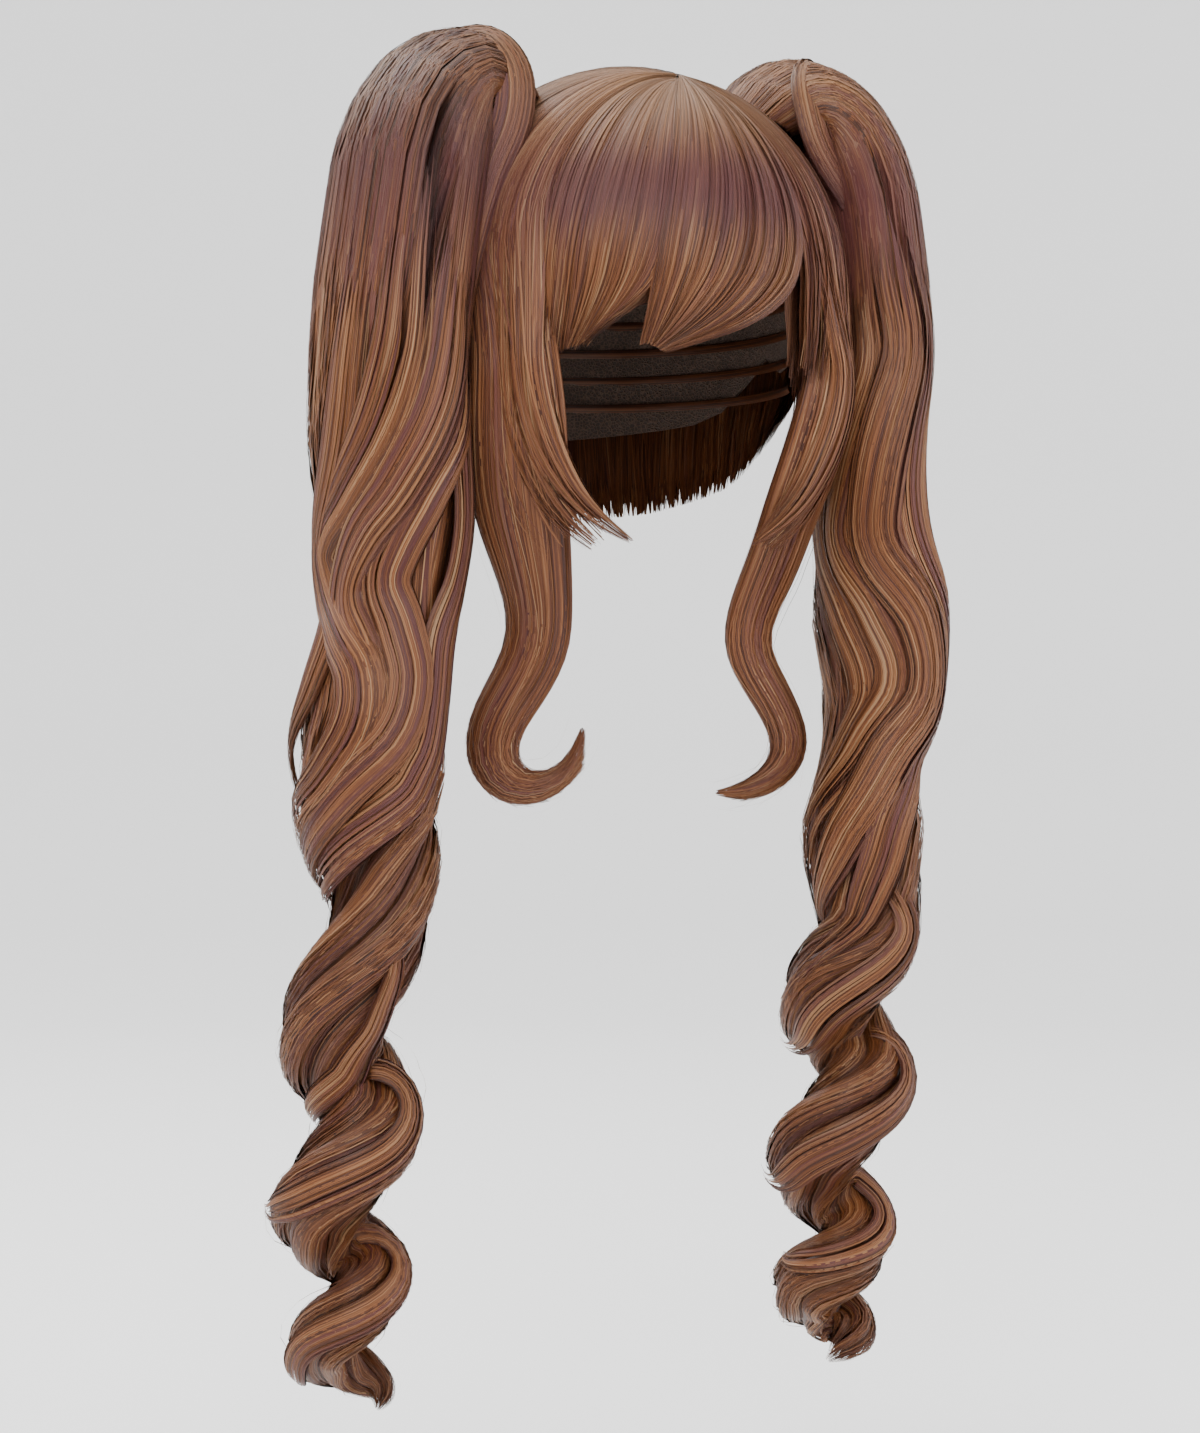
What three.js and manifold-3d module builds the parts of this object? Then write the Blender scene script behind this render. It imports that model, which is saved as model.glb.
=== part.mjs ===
// A long wig with two high pigtails, bangs and curled side locks, in millimetres.
// The wearer faces -Y, +X is the wearer's left and +Z is up.
// The origin is where the top of the head bears inside the cap.
import * as THREE from "three";
import { mergeVertices } from "three/addons/utils/BufferGeometryUtils.js";
import Module from "manifold-3d";

const wasm = await Module();
wasm.setup();

// The head that the cap fits
const headHalfWidth = 76;
const headHalfDepth = 95;
const headDomeHeight = 95;

// The cap
const capWall = 1.5;
const capFrontHem = 52;
const capEarHem = 128;
const capNapeHem = 150;

// The hair that lies on the cap
const seatGap = 0.35;
const hairSpaceGap = 1.2;
const liningGap = 1.7;
const hairOverTop = 8;
const hairOverSides = 14;
const hairOverFrontAndBack = 13;
const lockRelief = 2.2;
const hairEndThickness = 3;
const whorlLeft = 8;
const whorlForward = 48;

// The bangs, the back hair and the side locks
const bangsDrop = 128;
const bangsLift = 1.7;
const bangsLap = 3;
const backHairDrop = 188;
const sideHairDrop = 165;
const sideLockDrop = 312;
const sideLockReach = 75;
const sideLockForward = 78;
const sideLockHalfWidth = 22;
const sideLockHalfThickness = 8;

// The pigtails
const pigtailLength = 584;
const pigtailTop = 17;
const pigtailReach = 121;
const pigtailForward = 45;
const bundleHalfWidth = 28;
const bundleHalfDepth = 45;
const ringletRadius = 13;
const bundleGroove = 0.16;

// The clips that hold the pigtails
const clipLength = 44;
const clipWidth = 15;
const clipHeight = 10;
const clipReachShare = 0.8;
const clipBackward = -10;
const clipTilt = 38;

// The bearings from the whorl, in degrees from the front, at which one piece of hair meets the next
const sideRightBearing = -113;
const sideLeftBearing = 117;
const bangsRightBearing = -71;
const bangsLeftBearing = 44;
const bangsNotchBearing = -24;
const whorlOpening = 0.015;
const whorlFade = 4;
const fallUnit = 100;
const pointsPerLock = 4;
const curtainLevels = 7;
const endThinning = 0.75;
const thinnestHair = 0.8;

const degree = Math.PI / 180;

// A closed solid from rings of points that run along a piece. Each ring lists its outer side, then its inner side
// back to the start, so that both ends close as a strip.
function loft(rings) {
  const size = rings[0].length;
  const positions = rings.flat().flatMap((point) => [point.x, point.y, point.z]);
  const faces = [];
  const quad = (a, b, c, d) => faces.push(a, b, c, a, c, d);
  for (let row = 0; row + 1 < rings.length; row += 1) {
    for (let step = 0; step < size; step += 1) {
      const next = (step + 1) % size;
      quad(row * size + step, row * size + next, (row + 1) * size + next, (row + 1) * size + step);
    }
  }
  const last = (rings.length - 1) * size;
  for (let step = 0; step + 1 < size / 2; step += 1) {
    const across = size - 1 - step;
    quad(step, across, across - 1, step + 1);
    quad(last + step, last + step + 1, last + across - 1, last + across);
  }
  const geometry = new THREE.BufferGeometry();
  geometry.setAttribute("position", new THREE.Float32BufferAttribute(positions, 3));
  geometry.setIndex(faces);
  return toSolid(geometry);
}

// A manifold solid of a closed geometry, turned so that its faces point out.
function toSolid(geometry) {
  const bare = geometry.clone();
  bare.deleteAttribute("normal");
  bare.deleteAttribute("uv");
  const merged = mergeVertices(bare, 1e-4);
  const vertProperties = new Float32Array(merged.attributes.position.array);
  const triVerts = new Uint32Array(merged.index.array);
  const solid = new wasm.Manifold(new wasm.Mesh({ numProp: 3, vertProperties, triVerts }));
  return solid.volume() < 0 ? new wasm.Manifold(new wasm.Mesh({
    numProp: 3,
    vertProperties,
    triVerts: triVerts.reverse(),
  })) : solid;
}

function toGeometry(solid) {
  const { vertProperties, triVerts } = solid.getMesh();
  const geometry = new THREE.BufferGeometry();
  geometry.setAttribute("position", new THREE.Float32BufferAttribute(vertProperties, 3));
  geometry.setIndex(new THREE.Uint32BufferAttribute(triVerts, 1));
  geometry.computeVertexNormals();
  return geometry;
}

// One column of a table at a place between 0 and 1 along its rows, on a smooth curve through the rows.
function column(rows, name, place) {
  const at = Math.min(Math.max(place, 0), 1) * (rows.length - 1);
  const row = Math.min(Math.floor(at), rows.length - 2);
  const t = at - row;
  const value = (index) => rows[Math.min(Math.max(index, 0), rows.length - 1)][name];
  const [a, b, c, d] = [value(row - 1), value(row), value(row + 1), value(row + 2)];
  return b + 0.5 * t * (c - a + t * (2 * a - 5 * b + 4 * c - d + t * (3 * (b - c) + d - a)));
}

// A value read by straight lines between the rows of a table, which rise in its first column.
function between(rows, key, name, place) {
  const upper = rows.findIndex((row) => row[key] >= place);
  if (upper === 0) return rows[0][name];
  if (upper < 0) return rows[rows.length - 1][name];
  const [low, high] = [rows[upper - 1], rows[upper]];
  return THREE.MathUtils.mapLinear(place, low[key], high[key], low[name], high[name]);
}

// The dome of the head, grown by so much over the top, the sides and the front and back.
function dome(overTop, overSides, overEnds) {
  return {
    halfWidth: headHalfWidth + overSides,
    halfDepth: headHalfDepth + overEnds,
    height: headDomeHeight + overTop,
  };
}

// How far the head form draws in below the widest level, for each share of the way to the nape.
const drawIn = [
  { below: 0, share: 1 },
  { below: 0.45, share: 0.985 },
  { below: 1, share: 0.93 },
];

// A point of a dome. The bearing is seen from the pole, 0 in front and growing towards the wearer's left. The
// travel runs from 0 at the pole to 1 at the widest level, and past 1 it goes straight down in fall units.
function domePoint(form, pole, bearing, travel) {
  const [dx, dy] = [Math.sin(bearing), -Math.cos(bearing)];
  const a = (dx / form.halfWidth) ** 2 + (dy / form.halfDepth) ** 2;
  const b = (pole.x * dx) / form.halfWidth ** 2 + (pole.y * dy) / form.halfDepth ** 2;
  const c = (pole.x / form.halfWidth) ** 2 + (pole.y / form.halfDepth) ** 2 - 1;
  const reach = (-b + Math.sqrt(b * b - a * c)) / a;
  const out = reach * Math.sin((Math.min(travel, 1) * Math.PI) / 2);
  const [x, y] = [pole.x + out * dx, pole.y + out * dy];
  const level = Math.sqrt(Math.max(0, 1 - (x / form.halfWidth) ** 2 - (y / form.halfDepth) ** 2));
  const below = Math.max(0, travel - 1) * fallUnit;
  const share = between(drawIn, "below", "share", below / (capNapeHem - headDomeHeight));
  return new THREE.Vector3(x * share, y * share, -headDomeHeight + form.height * level - below);
}

const capForm = dome(capWall, capWall, capWall);
const hairSeat = dome(capWall + liningGap, capWall + liningGap, capWall + liningGap);
const hairForm = dome(hairOverTop, hairOverSides, hairOverFrontAndBack);
const whorl = { x: whorlLeft, y: -whorlForward };
const middle = { x: 0, y: 0 };

// The hem of the cap by its bearing from the front: the face edge, the ear tab, the ear cut and the nape.
const capHem = [
  { bearing: 0, depth: capFrontHem },
  { bearing: 38, depth: capFrontHem + 6 },
  { bearing: 62, depth: capEarHem - 20 },
  { bearing: 78, depth: capEarHem },
  { bearing: 96, depth: capEarHem - 12 },
  { bearing: 124, depth: capNapeHem - 8 },
  { bearing: 180, depth: capNapeHem },
];

// The travel at which a dome's wall is so deep under its top.
function travelAtDepth(form, pole, bearing, depth) {
  if (depth >= headDomeHeight) return 1 + (depth - headDomeHeight) / fallUnit;
  let [low, high] = [0, 1];
  while (high - low > 1e-6) {
    const half = (low + high) / 2;
    if (domePoint(form, pole, bearing, half).z > -depth) low = half;
    else high = half;
  }
  return low;
}

// The cap is a wall of even thickness over the head, closed at the top and open below.
function wigCap() {
  const bearings = 30;
  const levels = 8;
  const head = dome(0, 0, 0);
  const positions = [];
  const faces = [];
  for (const form of [head, capForm]) {
    const top = domePoint(form, middle, 0, 0);
    positions.push(top.x, top.y, top.z);
    for (let level = 1; level <= levels; level += 1) {
      for (let step = 0; step < bearings; step += 1) {
        const bearing = (step / bearings) * 360;
        const fromFront = Math.min(bearing, 360 - bearing);
        const depth = between(capHem, "bearing", "depth", fromFront);
        const end = travelAtDepth(head, middle, bearing * degree, depth);
        const point = domePoint(form, middle, bearing * degree, (end * level) / levels);
        positions.push(point.x, point.y, point.z);
      }
    }
  }
  const skin = 1 + bearings * levels;
  const spot = (side, level, step) => side * skin + 1 + (level - 1) * bearings + (step % bearings);
  for (let step = 0; step < bearings; step += 1) {
    faces.push(0, spot(0, 1, step), spot(0, 1, step + 1));
    faces.push(skin, spot(1, 1, step + 1), spot(1, 1, step));
    for (let level = 1; level < levels; level += 1) {
      const [a, b] = [spot(0, level, step), spot(0, level, step + 1)];
      const [c, d] = [spot(0, level + 1, step + 1), spot(0, level + 1, step)];
      faces.push(a, d, c, a, c, b);
      faces.push(a + skin, c + skin, d + skin, a + skin, b + skin, c + skin);
    }
    const [inner, innerNext] = [spot(0, levels, step), spot(0, levels, step + 1)];
    faces.push(inner, inner + skin, innerNext + skin, inner, innerNext + skin, innerNext);
  }
  const geometry = new THREE.BufferGeometry();
  geometry.setAttribute("position", new THREE.Float32BufferAttribute(positions, 3));
  geometry.setIndex(faces);
  return toSolid(geometry);
}

// A curtain of hair that hangs from the whorl over the cap, from one bearing to another. Its table gives the depth
// of its end at each share of the way across, how far the strands sweep across on their way down, how proud the
// hair stands, and how far its lower part stands off the head. Round locks, with a groove between them, run down
// its outer side.
function hairCurtain({ from, to, rows, locks, lift = 0 }) {
  const steps = locks * pointsPerLock;
  const handing = Math.sign(to - from);
  const rings = [];
  for (let level = 0; level <= curtainLevels; level += 1) {
    const outer = [];
    const inner = [];
    const share = level / curtainLevels;
    const body = 1 - endThinning * share ** 4;
    for (let step = 0; step <= steps; step += 1) {
      const across = step / steps;
      const row = (name) => between(rows, "across", name, across);
      const straight = THREE.MathUtils.lerp(from, to, across) * degree;
      const end = travelAtDepth(hairForm, whorl, straight, row("ends"));
      const travel = THREE.MathUtils.lerp(whorlOpening, end, share);
      const bearing = straight + handing * row("sweep") * degree * (travel / end) ** 2;
      const fullness = Math.sin((Math.min(travel, 1) * Math.PI) / 2);
      const skin = domePoint(hairSeat, whorl, bearing, travel);
      const outward = domePoint(hairForm, whorl, bearing, travel).sub(skin);
      const thickness = outward.length();
      outward.divideScalar(thickness);
      const hanging = Math.min(2 * Math.max(travel - 1, 0), 1) * row("hang");
      const under = (thickness - hairEndThickness) * hanging;
      const groove = lockRelief * fullness * (1 - Math.abs(Math.sin(across * locks * Math.PI)));
      const over = under + (thickness - under) * body - groove * body + row("proud") * fullness + lift;
      const beside = edgeGap(bearing, skin).multiplyScalar(handing * endSign(across));
      outer.push(skin.clone().addScaledVector(outward, Math.max(over, under + thinnestHair)).add(beside));
      inner.push(skin.clone().addScaledVector(outward, under).add(beside));
    }
    rings.push([...outer, ...inner.reverse()]);
  }
  return loft(rings);
}

// 1 at the first edge of a curtain, -1 at its last and 0 between them.
function endSign(across) {
  if (across === 0) return 1;
  return across === 1 ? -1 : 0;
}

// The step sideways that keeps the edge of a curtain clear of its neighbour. It fades out at the whorl.
function edgeGap(bearing, point) {
  const fromWhorl = Math.hypot(point.x - whorl.x, point.y - whorl.y);
  const size = seatGap * Math.min(1, fromWhorl / whorlFade);
  return new THREE.Vector3(Math.cos(bearing) * size, Math.sin(bearing) * size, 0);
}

// A lock along a path of points, with its half width and half thickness at each place. The front is the direction
// that the flat of the lock faces.
function hairLock({ rows, sides, levels, front, side }) {
  const points = Array.from({ length: levels + 1 }, (unused, level) => new THREE.Vector3(
    side * column(rows, "out", level / levels) * sideLockReach,
    -column(rows, "fore", level / levels) * sideLockForward,
    -column(rows, "down", level / levels) * sideLockDrop,
  ));
  const rings = points.map((point, level) => {
    const before = points[Math.max(level - 1, 0)];
    const after = points[Math.min(level + 1, levels)];
    const along = after.clone().sub(before).normalize();
    const thick = front.clone().addScaledVector(along, -front.dot(along)).normalize();
    const wide = new THREE.Vector3().crossVectors(along, thick);
    const halfWidth = Math.max(column(rows, "wide", level / levels) * sideLockHalfWidth, thinnestHair);
    const halfThickness = Math.max(column(rows, "thick", level / levels) * sideLockHalfThickness, thinnestHair);
    return Array.from({ length: sides }, (unused, corner) => {
      const angle = ((corner + 0.5) / sides) * 2 * Math.PI;
      return point.clone()
        .addScaledVector(wide, Math.cos(angle) * halfWidth)
        .addScaledVector(thick, Math.sin(angle) * halfThickness);
    });
  });
  return loft(rings);
}

const wholeBack = [
  { across: 0, ends: headDomeHeight, sweep: 0, proud: 0, hang: 0 },
  { across: 1, ends: headDomeHeight, sweep: 0, proud: 0, hang: 0 },
];

function crownHair() {
  return hairCurtain({
    from: sideLeftBearing,
    to: 360 + sideRightBearing,
    rows: wholeBack,
    locks: 9,
  });
}

// The back hair goes on from the crown, and its ends turn in at the nape.
const napeEnds = [
  { across: 0, ends: 0.8 },
  { across: 0.2, ends: 0.93 },
  { across: 0.35, ends: 0.98 },
  { across: 0.5, ends: 1 },
  { across: 0.65, ends: 0.97 },
  { across: 0.8, ends: 0.94 },
  { across: 1, ends: 0.8 },
];

const backHairLayers = [
  { down: 0, inner: 0, outer: 1 },
  { down: 0.3, inner: 0.12, outer: 1.04 },
  { down: 0.6, inner: 0.1, outer: 1 },
  { down: 0.85, inner: -0.25, outer: 0.5 },
  { down: 1, inner: -0.65, outer: -0.3 },
];

function backHair() {
  const locks = 9;
  const steps = locks * pointsPerLock;
  const rings = backHairLayers.map((layer) => {
    const outer = [];
    const inner = [];
    for (let step = 0; step <= steps; step += 1) {
      const across = step / steps;
      const bearing = THREE.MathUtils.lerp(sideLeftBearing, 360 + sideRightBearing, across) * degree;
      const depth = backHairDrop * between(napeEnds, "across", "ends", across) - headDomeHeight;
      const travel = 1 + (seatGap + layer.down * depth) / fallUnit;
      const skin = domePoint(hairSeat, whorl, bearing, travel);
      const wall = domePoint(hairForm, whorl, bearing, travel).sub(skin);
      const groove = lockRelief * (1 - Math.abs(Math.sin(across * locks * Math.PI)));
      const beside = edgeGap(bearing, skin).multiplyScalar(endSign(across));
      const over = layer.outer - groove / wall.length();
      outer.push(skin.clone().addScaledVector(wall, over).add(beside));
      inner.push(skin.clone().addScaledVector(wall, layer.inner).add(beside));
    }
    return [...outer, ...inner.reverse()];
  });
  return loft(rings);
}

// The bangs end at these shares of their drop. The part over the wearer's left brow lies over the other.
const bangsRightEnds = [
  { across: 0, ends: 1, sweep: 4, proud: 1, hang: 0.9 },
  { across: 0.3, ends: 0.98, sweep: 3, proud: 1.5, hang: 0.9 },
  { across: 0.62, ends: 0.88, sweep: 1, proud: 1, hang: 0.9 },
  { across: 0.88, ends: 0.78, sweep: 0, proud: 0, hang: 0.9 },
  { across: 1, ends: 0.66, sweep: 2, proud: 0, hang: 0.9 },
];

const bangsLeftEnds = [
  { across: 0, ends: 0.98, sweep: -14, proud: 0, hang: 0.9 },
  { across: 0.12, ends: 0.97, sweep: -14, proud: 1, hang: 0.9 },
  { across: 0.4, ends: 0.95, sweep: -10, proud: 1.5, hang: 0.9 },
  { across: 0.65, ends: 0.86, sweep: -6, proud: 1.5, hang: 0.9 },
  { across: 0.85, ends: 0.74, sweep: -3, proud: 1, hang: 0.9 },
  { across: 1, ends: 0.56, sweep: 0, proud: 0, hang: 0.9 },
];

function bangs() {
  const right = hairCurtain({
    from: bangsRightBearing,
    to: bangsNotchBearing + bangsLap,
    rows: scaled(bangsRightEnds, bangsDrop),
    locks: 3,
  });
  const left = hairCurtain({
    from: bangsNotchBearing,
    to: bangsLeftBearing,
    rows: scaled(bangsLeftEnds, bangsDrop),
    locks: 4,
    lift: bangsLift,
  });
  return right.add(left);
}

// The rows of a curtain with their ends in millimetres.
function scaled(rows, drop) {
  return rows.map((row) => ({ ...row, ends: row.ends * drop }));
}

const sideHairEnds = [
  { across: 0, ends: 0.78, sweep: 0, proud: 1, hang: 0.3 },
  { across: 0.35, ends: 0.96, sweep: 3, proud: 7, hang: 0.3 },
  { across: 0.7, ends: 1, sweep: 3, proud: 0.5, hang: 0.3 },
  { across: 1, ends: 0.84, sweep: 0, proud: 0, hang: 0.3 },
];

// The curled lock that goes on from the temple hair, and the wisp that lies over the cheek.
const lockRight = [
  { down: 0.27, out: 0.97, fore: 0.72, wide: 0.25, thick: 0.15 },
  { down: 0.35, out: 0.99, fore: 0.81, wide: 0.62, thick: 0.55 },
  { down: 0.43, out: 1, fore: 0.86, wide: 0.85, thick: 0.95 },
  { down: 0.5, out: 0.98, fore: 0.83, wide: 0.95, thick: 1 },
  { down: 0.6, out: 0.91, fore: 0.7, wide: 0.93, thick: 1 },
  { down: 0.68, out: 0.79, fore: 0.58, wide: 0.76, thick: 1 },
  { down: 0.75, out: 0.69, fore: 0.46, wide: 0.62, thick: 0.95 },
  { down: 0.8, out: 0.68, fore: 0.41, wide: 0.59, thick: 0.9 },
  { down: 0.86, out: 0.81, fore: 0.38, wide: 0.57, thick: 0.85 },
  { down: 0.91, out: 0.94, fore: 0.36, wide: 0.52, thick: 0.8 },
  { down: 0.96, out: 0.96, fore: 0.36, wide: 0.46, thick: 0.7 },
  { down: 0.995, out: 0.83, fore: 0.38, wide: 0.36, thick: 0.6 },
  { down: 0.995, out: 0.65, fore: 0.43, wide: 0.27, thick: 0.5 },
  { down: 0.965, out: 0.49, fore: 0.49, wide: 0.2, thick: 0.4 },
  { down: 0.91, out: 0.46, fore: 0.54, wide: 0.05, thick: 0.2 },
];

const lockLeft = [
  { down: 0.27, out: 0.96, fore: 0.72, wide: 0.25, thick: 0.15 },
  { down: 0.35, out: 0.96, fore: 0.81, wide: 0.62, thick: 0.55 },
  { down: 0.43, out: 0.95, fore: 0.86, wide: 0.8, thick: 0.9 },
  { down: 0.5, out: 0.88, fore: 0.86, wide: 0.9, thick: 1 },
  { down: 0.6, out: 0.77, fore: 0.74, wide: 0.85, thick: 1 },
  { down: 0.68, out: 0.69, fore: 0.64, wide: 0.76, thick: 1 },
  { down: 0.76, out: 0.57, fore: 0.56, wide: 0.6, thick: 0.95 },
  { down: 0.8, out: 0.55, fore: 0.55, wide: 0.5, thick: 0.9 },
  { down: 0.85, out: 0.68, fore: 0.56, wide: 0.55, thick: 0.85 },
  { down: 0.9, out: 0.77, fore: 0.62, wide: 0.52, thick: 0.8 },
  { down: 0.94, out: 0.83, fore: 0.62, wide: 0.45, thick: 0.7 },
  { down: 0.98, out: 0.71, fore: 0.62, wide: 0.32, thick: 0.55 },
  { down: 1, out: 0.53, fore: 0.6, wide: 0.2, thick: 0.4 },
  { down: 1, out: 0.34, fore: 0.62, wide: 0.05, thick: 0.2 },
];

const cheekWisp = [
  { down: 0.34, out: 0.98, fore: 0.95, wide: 0.3, thick: 0.4 },
  { down: 0.44, out: 0.97, fore: 0.98, wide: 0.36, thick: 0.5 },
  { down: 0.53, out: 0.87, fore: 0.98, wide: 0.36, thick: 0.5 },
  { down: 0.61, out: 0.66, fore: 1, wide: 0.22, thick: 0.4 },
  { down: 0.66, out: 0.37, fore: 1.04, wide: 0.05, thick: 0.15 },
];

function sideLock(side, from, to, rows) {
  const temple = hairCurtain({ from, to, rows: scaled(sideHairEnds, sideHairDrop), locks: 3 });
  const front = new THREE.Vector3(side * 0.55, -0.83, 0).normalize();
  const lock = hairLock({ rows, sides: 10, levels: 26, front, side });
  const wisp = hairLock({ rows: cheekWisp, sides: 6, levels: 8, front, side });
  return temple.add(lock).add(wisp);
}

// The pigtails. Each row gives how far down the tail it lies, how far out and forward its middle is, the half sizes
// of the bundle there, how far the hair leans from hanging straight down, and how far the curl has turned.
const tailRight = [
  { down: 0.057, out: 0.47, fore: 0.3, wide: 0.5, deep: 0.6, lean: 150, curl: 0, turns: 0 },
  { down: 0.042, out: 0.55, fore: 0.36, wide: 0.62, deep: 0.75, lean: 125, curl: 0, turns: 0 },
  { down: 0.036, out: 0.66, fore: 0.44, wide: 0.75, deep: 0.86, lean: 90, curl: 0, turns: 0 },
  { down: 0.055, out: 0.78, fore: 0.5, wide: 0.9, deep: 0.95, lean: 50, curl: 0, turns: 0 },
  { down: 0.094, out: 0.87, fore: 0.54, wide: 0.97, deep: 1, lean: 20, curl: 0, turns: 0 },
  { down: 0.142, out: 0.91, fore: 0.56, wide: 1, deep: 1, lean: 4, curl: 0, turns: 0 },
  { down: 0.21, out: 0.96, fore: 0.6, wide: 1, deep: 1, lean: 0, curl: 0, turns: 0 },
  { down: 0.297, out: 0.98, fore: 0.62, wide: 1, deep: 0.98, lean: 0, curl: 0, turns: 0 },
  { down: 0.371, out: 0.955, fore: 0.66, wide: 0.95, deep: 0.93, lean: 0, curl: 0.1, turns: 0 },
  { down: 0.431, out: 0.97, fore: 0.72, wide: 0.88, deep: 0.83, lean: 0, curl: 0.15, turns: 0.04 },
  { down: 0.496, out: 1.03, fore: 0.84, wide: 1.02, deep: 0.85, lean: 0, curl: 0.2, turns: 0.08 },
  { down: 0.541, out: 1.06, fore: 0.89, wide: 1.12, deep: 0.86, lean: 0, curl: 0.25, turns: 0.15 },
  { down: 0.592, out: 1.07, fore: 0.93, wide: 1.02, deep: 0.75, lean: 0, curl: 0.35, turns: 0.3 },
  { down: 0.644, out: 1.08, fore: 0.95, wide: 0.76, deep: 0.55, lean: 0, curl: 0.5, turns: 0.55 },
  { down: 0.696, out: 1.12, fore: 0.95, wide: 0.76, deep: 0.5, lean: 0, curl: 0.65, turns: 0.8 },
  { down: 0.747, out: 1.15, fore: 0.95, wide: 0.82, deep: 0.5, lean: 0, curl: 0.75, turns: 1.1 },
  { down: 0.802, out: 1.16, fore: 0.95, wide: 0.75, deep: 0.46, lean: 0, curl: 0.8, turns: 1.55 },
  { down: 0.866, out: 1.18, fore: 0.95, wide: 0.68, deep: 0.42, lean: 0, curl: 0.85, turns: 2.05 },
  { down: 0.907, out: 1.17, fore: 0.95, wide: 0.55, deep: 0.35, lean: 0, curl: 0.9, turns: 2.5 },
  { down: 0.958, out: 1.16, fore: 0.95, wide: 0.5, deep: 0.3, lean: 0, curl: 0.85, turns: 3 },
  { down: 0.983, out: 1.12, fore: 0.95, wide: 0.32, deep: 0.2, lean: 0, curl: 0.75, turns: 3.35 },
  { down: 1, out: 1.1, fore: 0.95, wide: 0.06, deep: 0.04, lean: 0, curl: 0.55, turns: 3.6 },
];

const tailLeft = [
  { down: 0.057, out: 0.47, fore: 0.3, wide: 0.5, deep: 0.6, lean: 150, curl: 0, turns: 0 },
  { down: 0.042, out: 0.55, fore: 0.36, wide: 0.62, deep: 0.75, lean: 125, curl: 0, turns: 0 },
  { down: 0.038, out: 0.65, fore: 0.42, wide: 0.74, deep: 0.86, lean: 90, curl: 0, turns: 0 },
  { down: 0.057, out: 0.77, fore: 0.46, wide: 0.87, deep: 0.95, lean: 50, curl: 0, turns: 0 },
  { down: 0.094, out: 0.86, fore: 0.48, wide: 0.94, deep: 1, lean: 20, curl: 0, turns: 0 },
  { down: 0.135, out: 0.9, fore: 0.5, wide: 0.95, deep: 0.98, lean: 4, curl: 0, turns: 0 },
  { down: 0.21, out: 0.94, fore: 0.5, wide: 0.95, deep: 1, lean: 0, curl: 0, turns: 0 },
  { down: 0.287, out: 0.9, fore: 0.55, wide: 0.93, deep: 0.98, lean: 0, curl: 0, turns: 0 },
  { down: 0.371, out: 0.91, fore: 0.62, wide: 0.92, deep: 0.93, lean: 0, curl: 0.1, turns: 0 },
  { down: 0.431, out: 0.9, fore: 0.71, wide: 0.96, deep: 0.9, lean: 0, curl: 0.15, turns: -0.1 },
  { down: 0.496, out: 0.87, fore: 0.84, wide: 0.86, deep: 0.82, lean: 0, curl: 0.2, turns: -0.1 },
  { down: 0.541, out: 0.81, fore: 0.89, wide: 0.72, deep: 0.74, lean: 0, curl: 0.25, turns: -0.05 },
  { down: 0.596, out: 0.78, fore: 0.93, wide: 1, deep: 0.74, lean: 0, curl: 0.35, turns: 0 },
  { down: 0.672, out: 0.79, fore: 0.95, wide: 0.82, deep: 0.58, lean: 0, curl: 0.6, turns: 0.15 },
  { down: 0.72, out: 0.76, fore: 0.95, wide: 0.78, deep: 0.5, lean: 0, curl: 0.75, turns: 0.5 },
  { down: 0.778, out: 0.74, fore: 0.95, wide: 0.74, deep: 0.45, lean: 0, curl: 0.8, turns: 1 },
  { down: 0.84, out: 0.71, fore: 0.95, wide: 0.74, deep: 0.44, lean: 0, curl: 0.85, turns: 1.5 },
  { down: 0.903, out: 0.69, fore: 0.95, wide: 0.58, deep: 0.36, lean: 0, curl: 0.85, turns: 2.05 },
  { down: 0.939, out: 0.68, fore: 0.95, wide: 0.62, deep: 0.36, lean: 0, curl: 0.75, turns: 2.5 },
  { down: 0.969, out: 0.69, fore: 0.95, wide: 0.48, deep: 0.28, lean: 0, curl: 0.65, turns: 2.95 },
  { down: 0.992, out: 0.71, fore: 0.95, wide: 0.06, deep: 0.04, lean: 0, curl: 0.55, turns: 3.35 },
];

const bundleLocks = 5;
const bundleLevels = 54;
const restTurn = 16;
const curlBearing = -22;
const twistShare = 0.3;

// The middle of the bundle at a place along its table, with the curl that swings it round its own line.
function bundleMiddle(side, rows, place) {
  const at = (name) => column(rows, name, place);
  const swing = ((side > 0 ? 0 : 180) + curlBearing - 360 * at("turns")) * degree;
  const radius = at("curl") * ringletRadius;
  return new THREE.Vector3(
    side * at("out") * pigtailReach + Math.cos(swing) * radius,
    -at("fore") * pigtailForward + Math.sin(swing) * radius,
    pigtailTop - at("down") * pigtailLength,
  );
}

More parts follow.
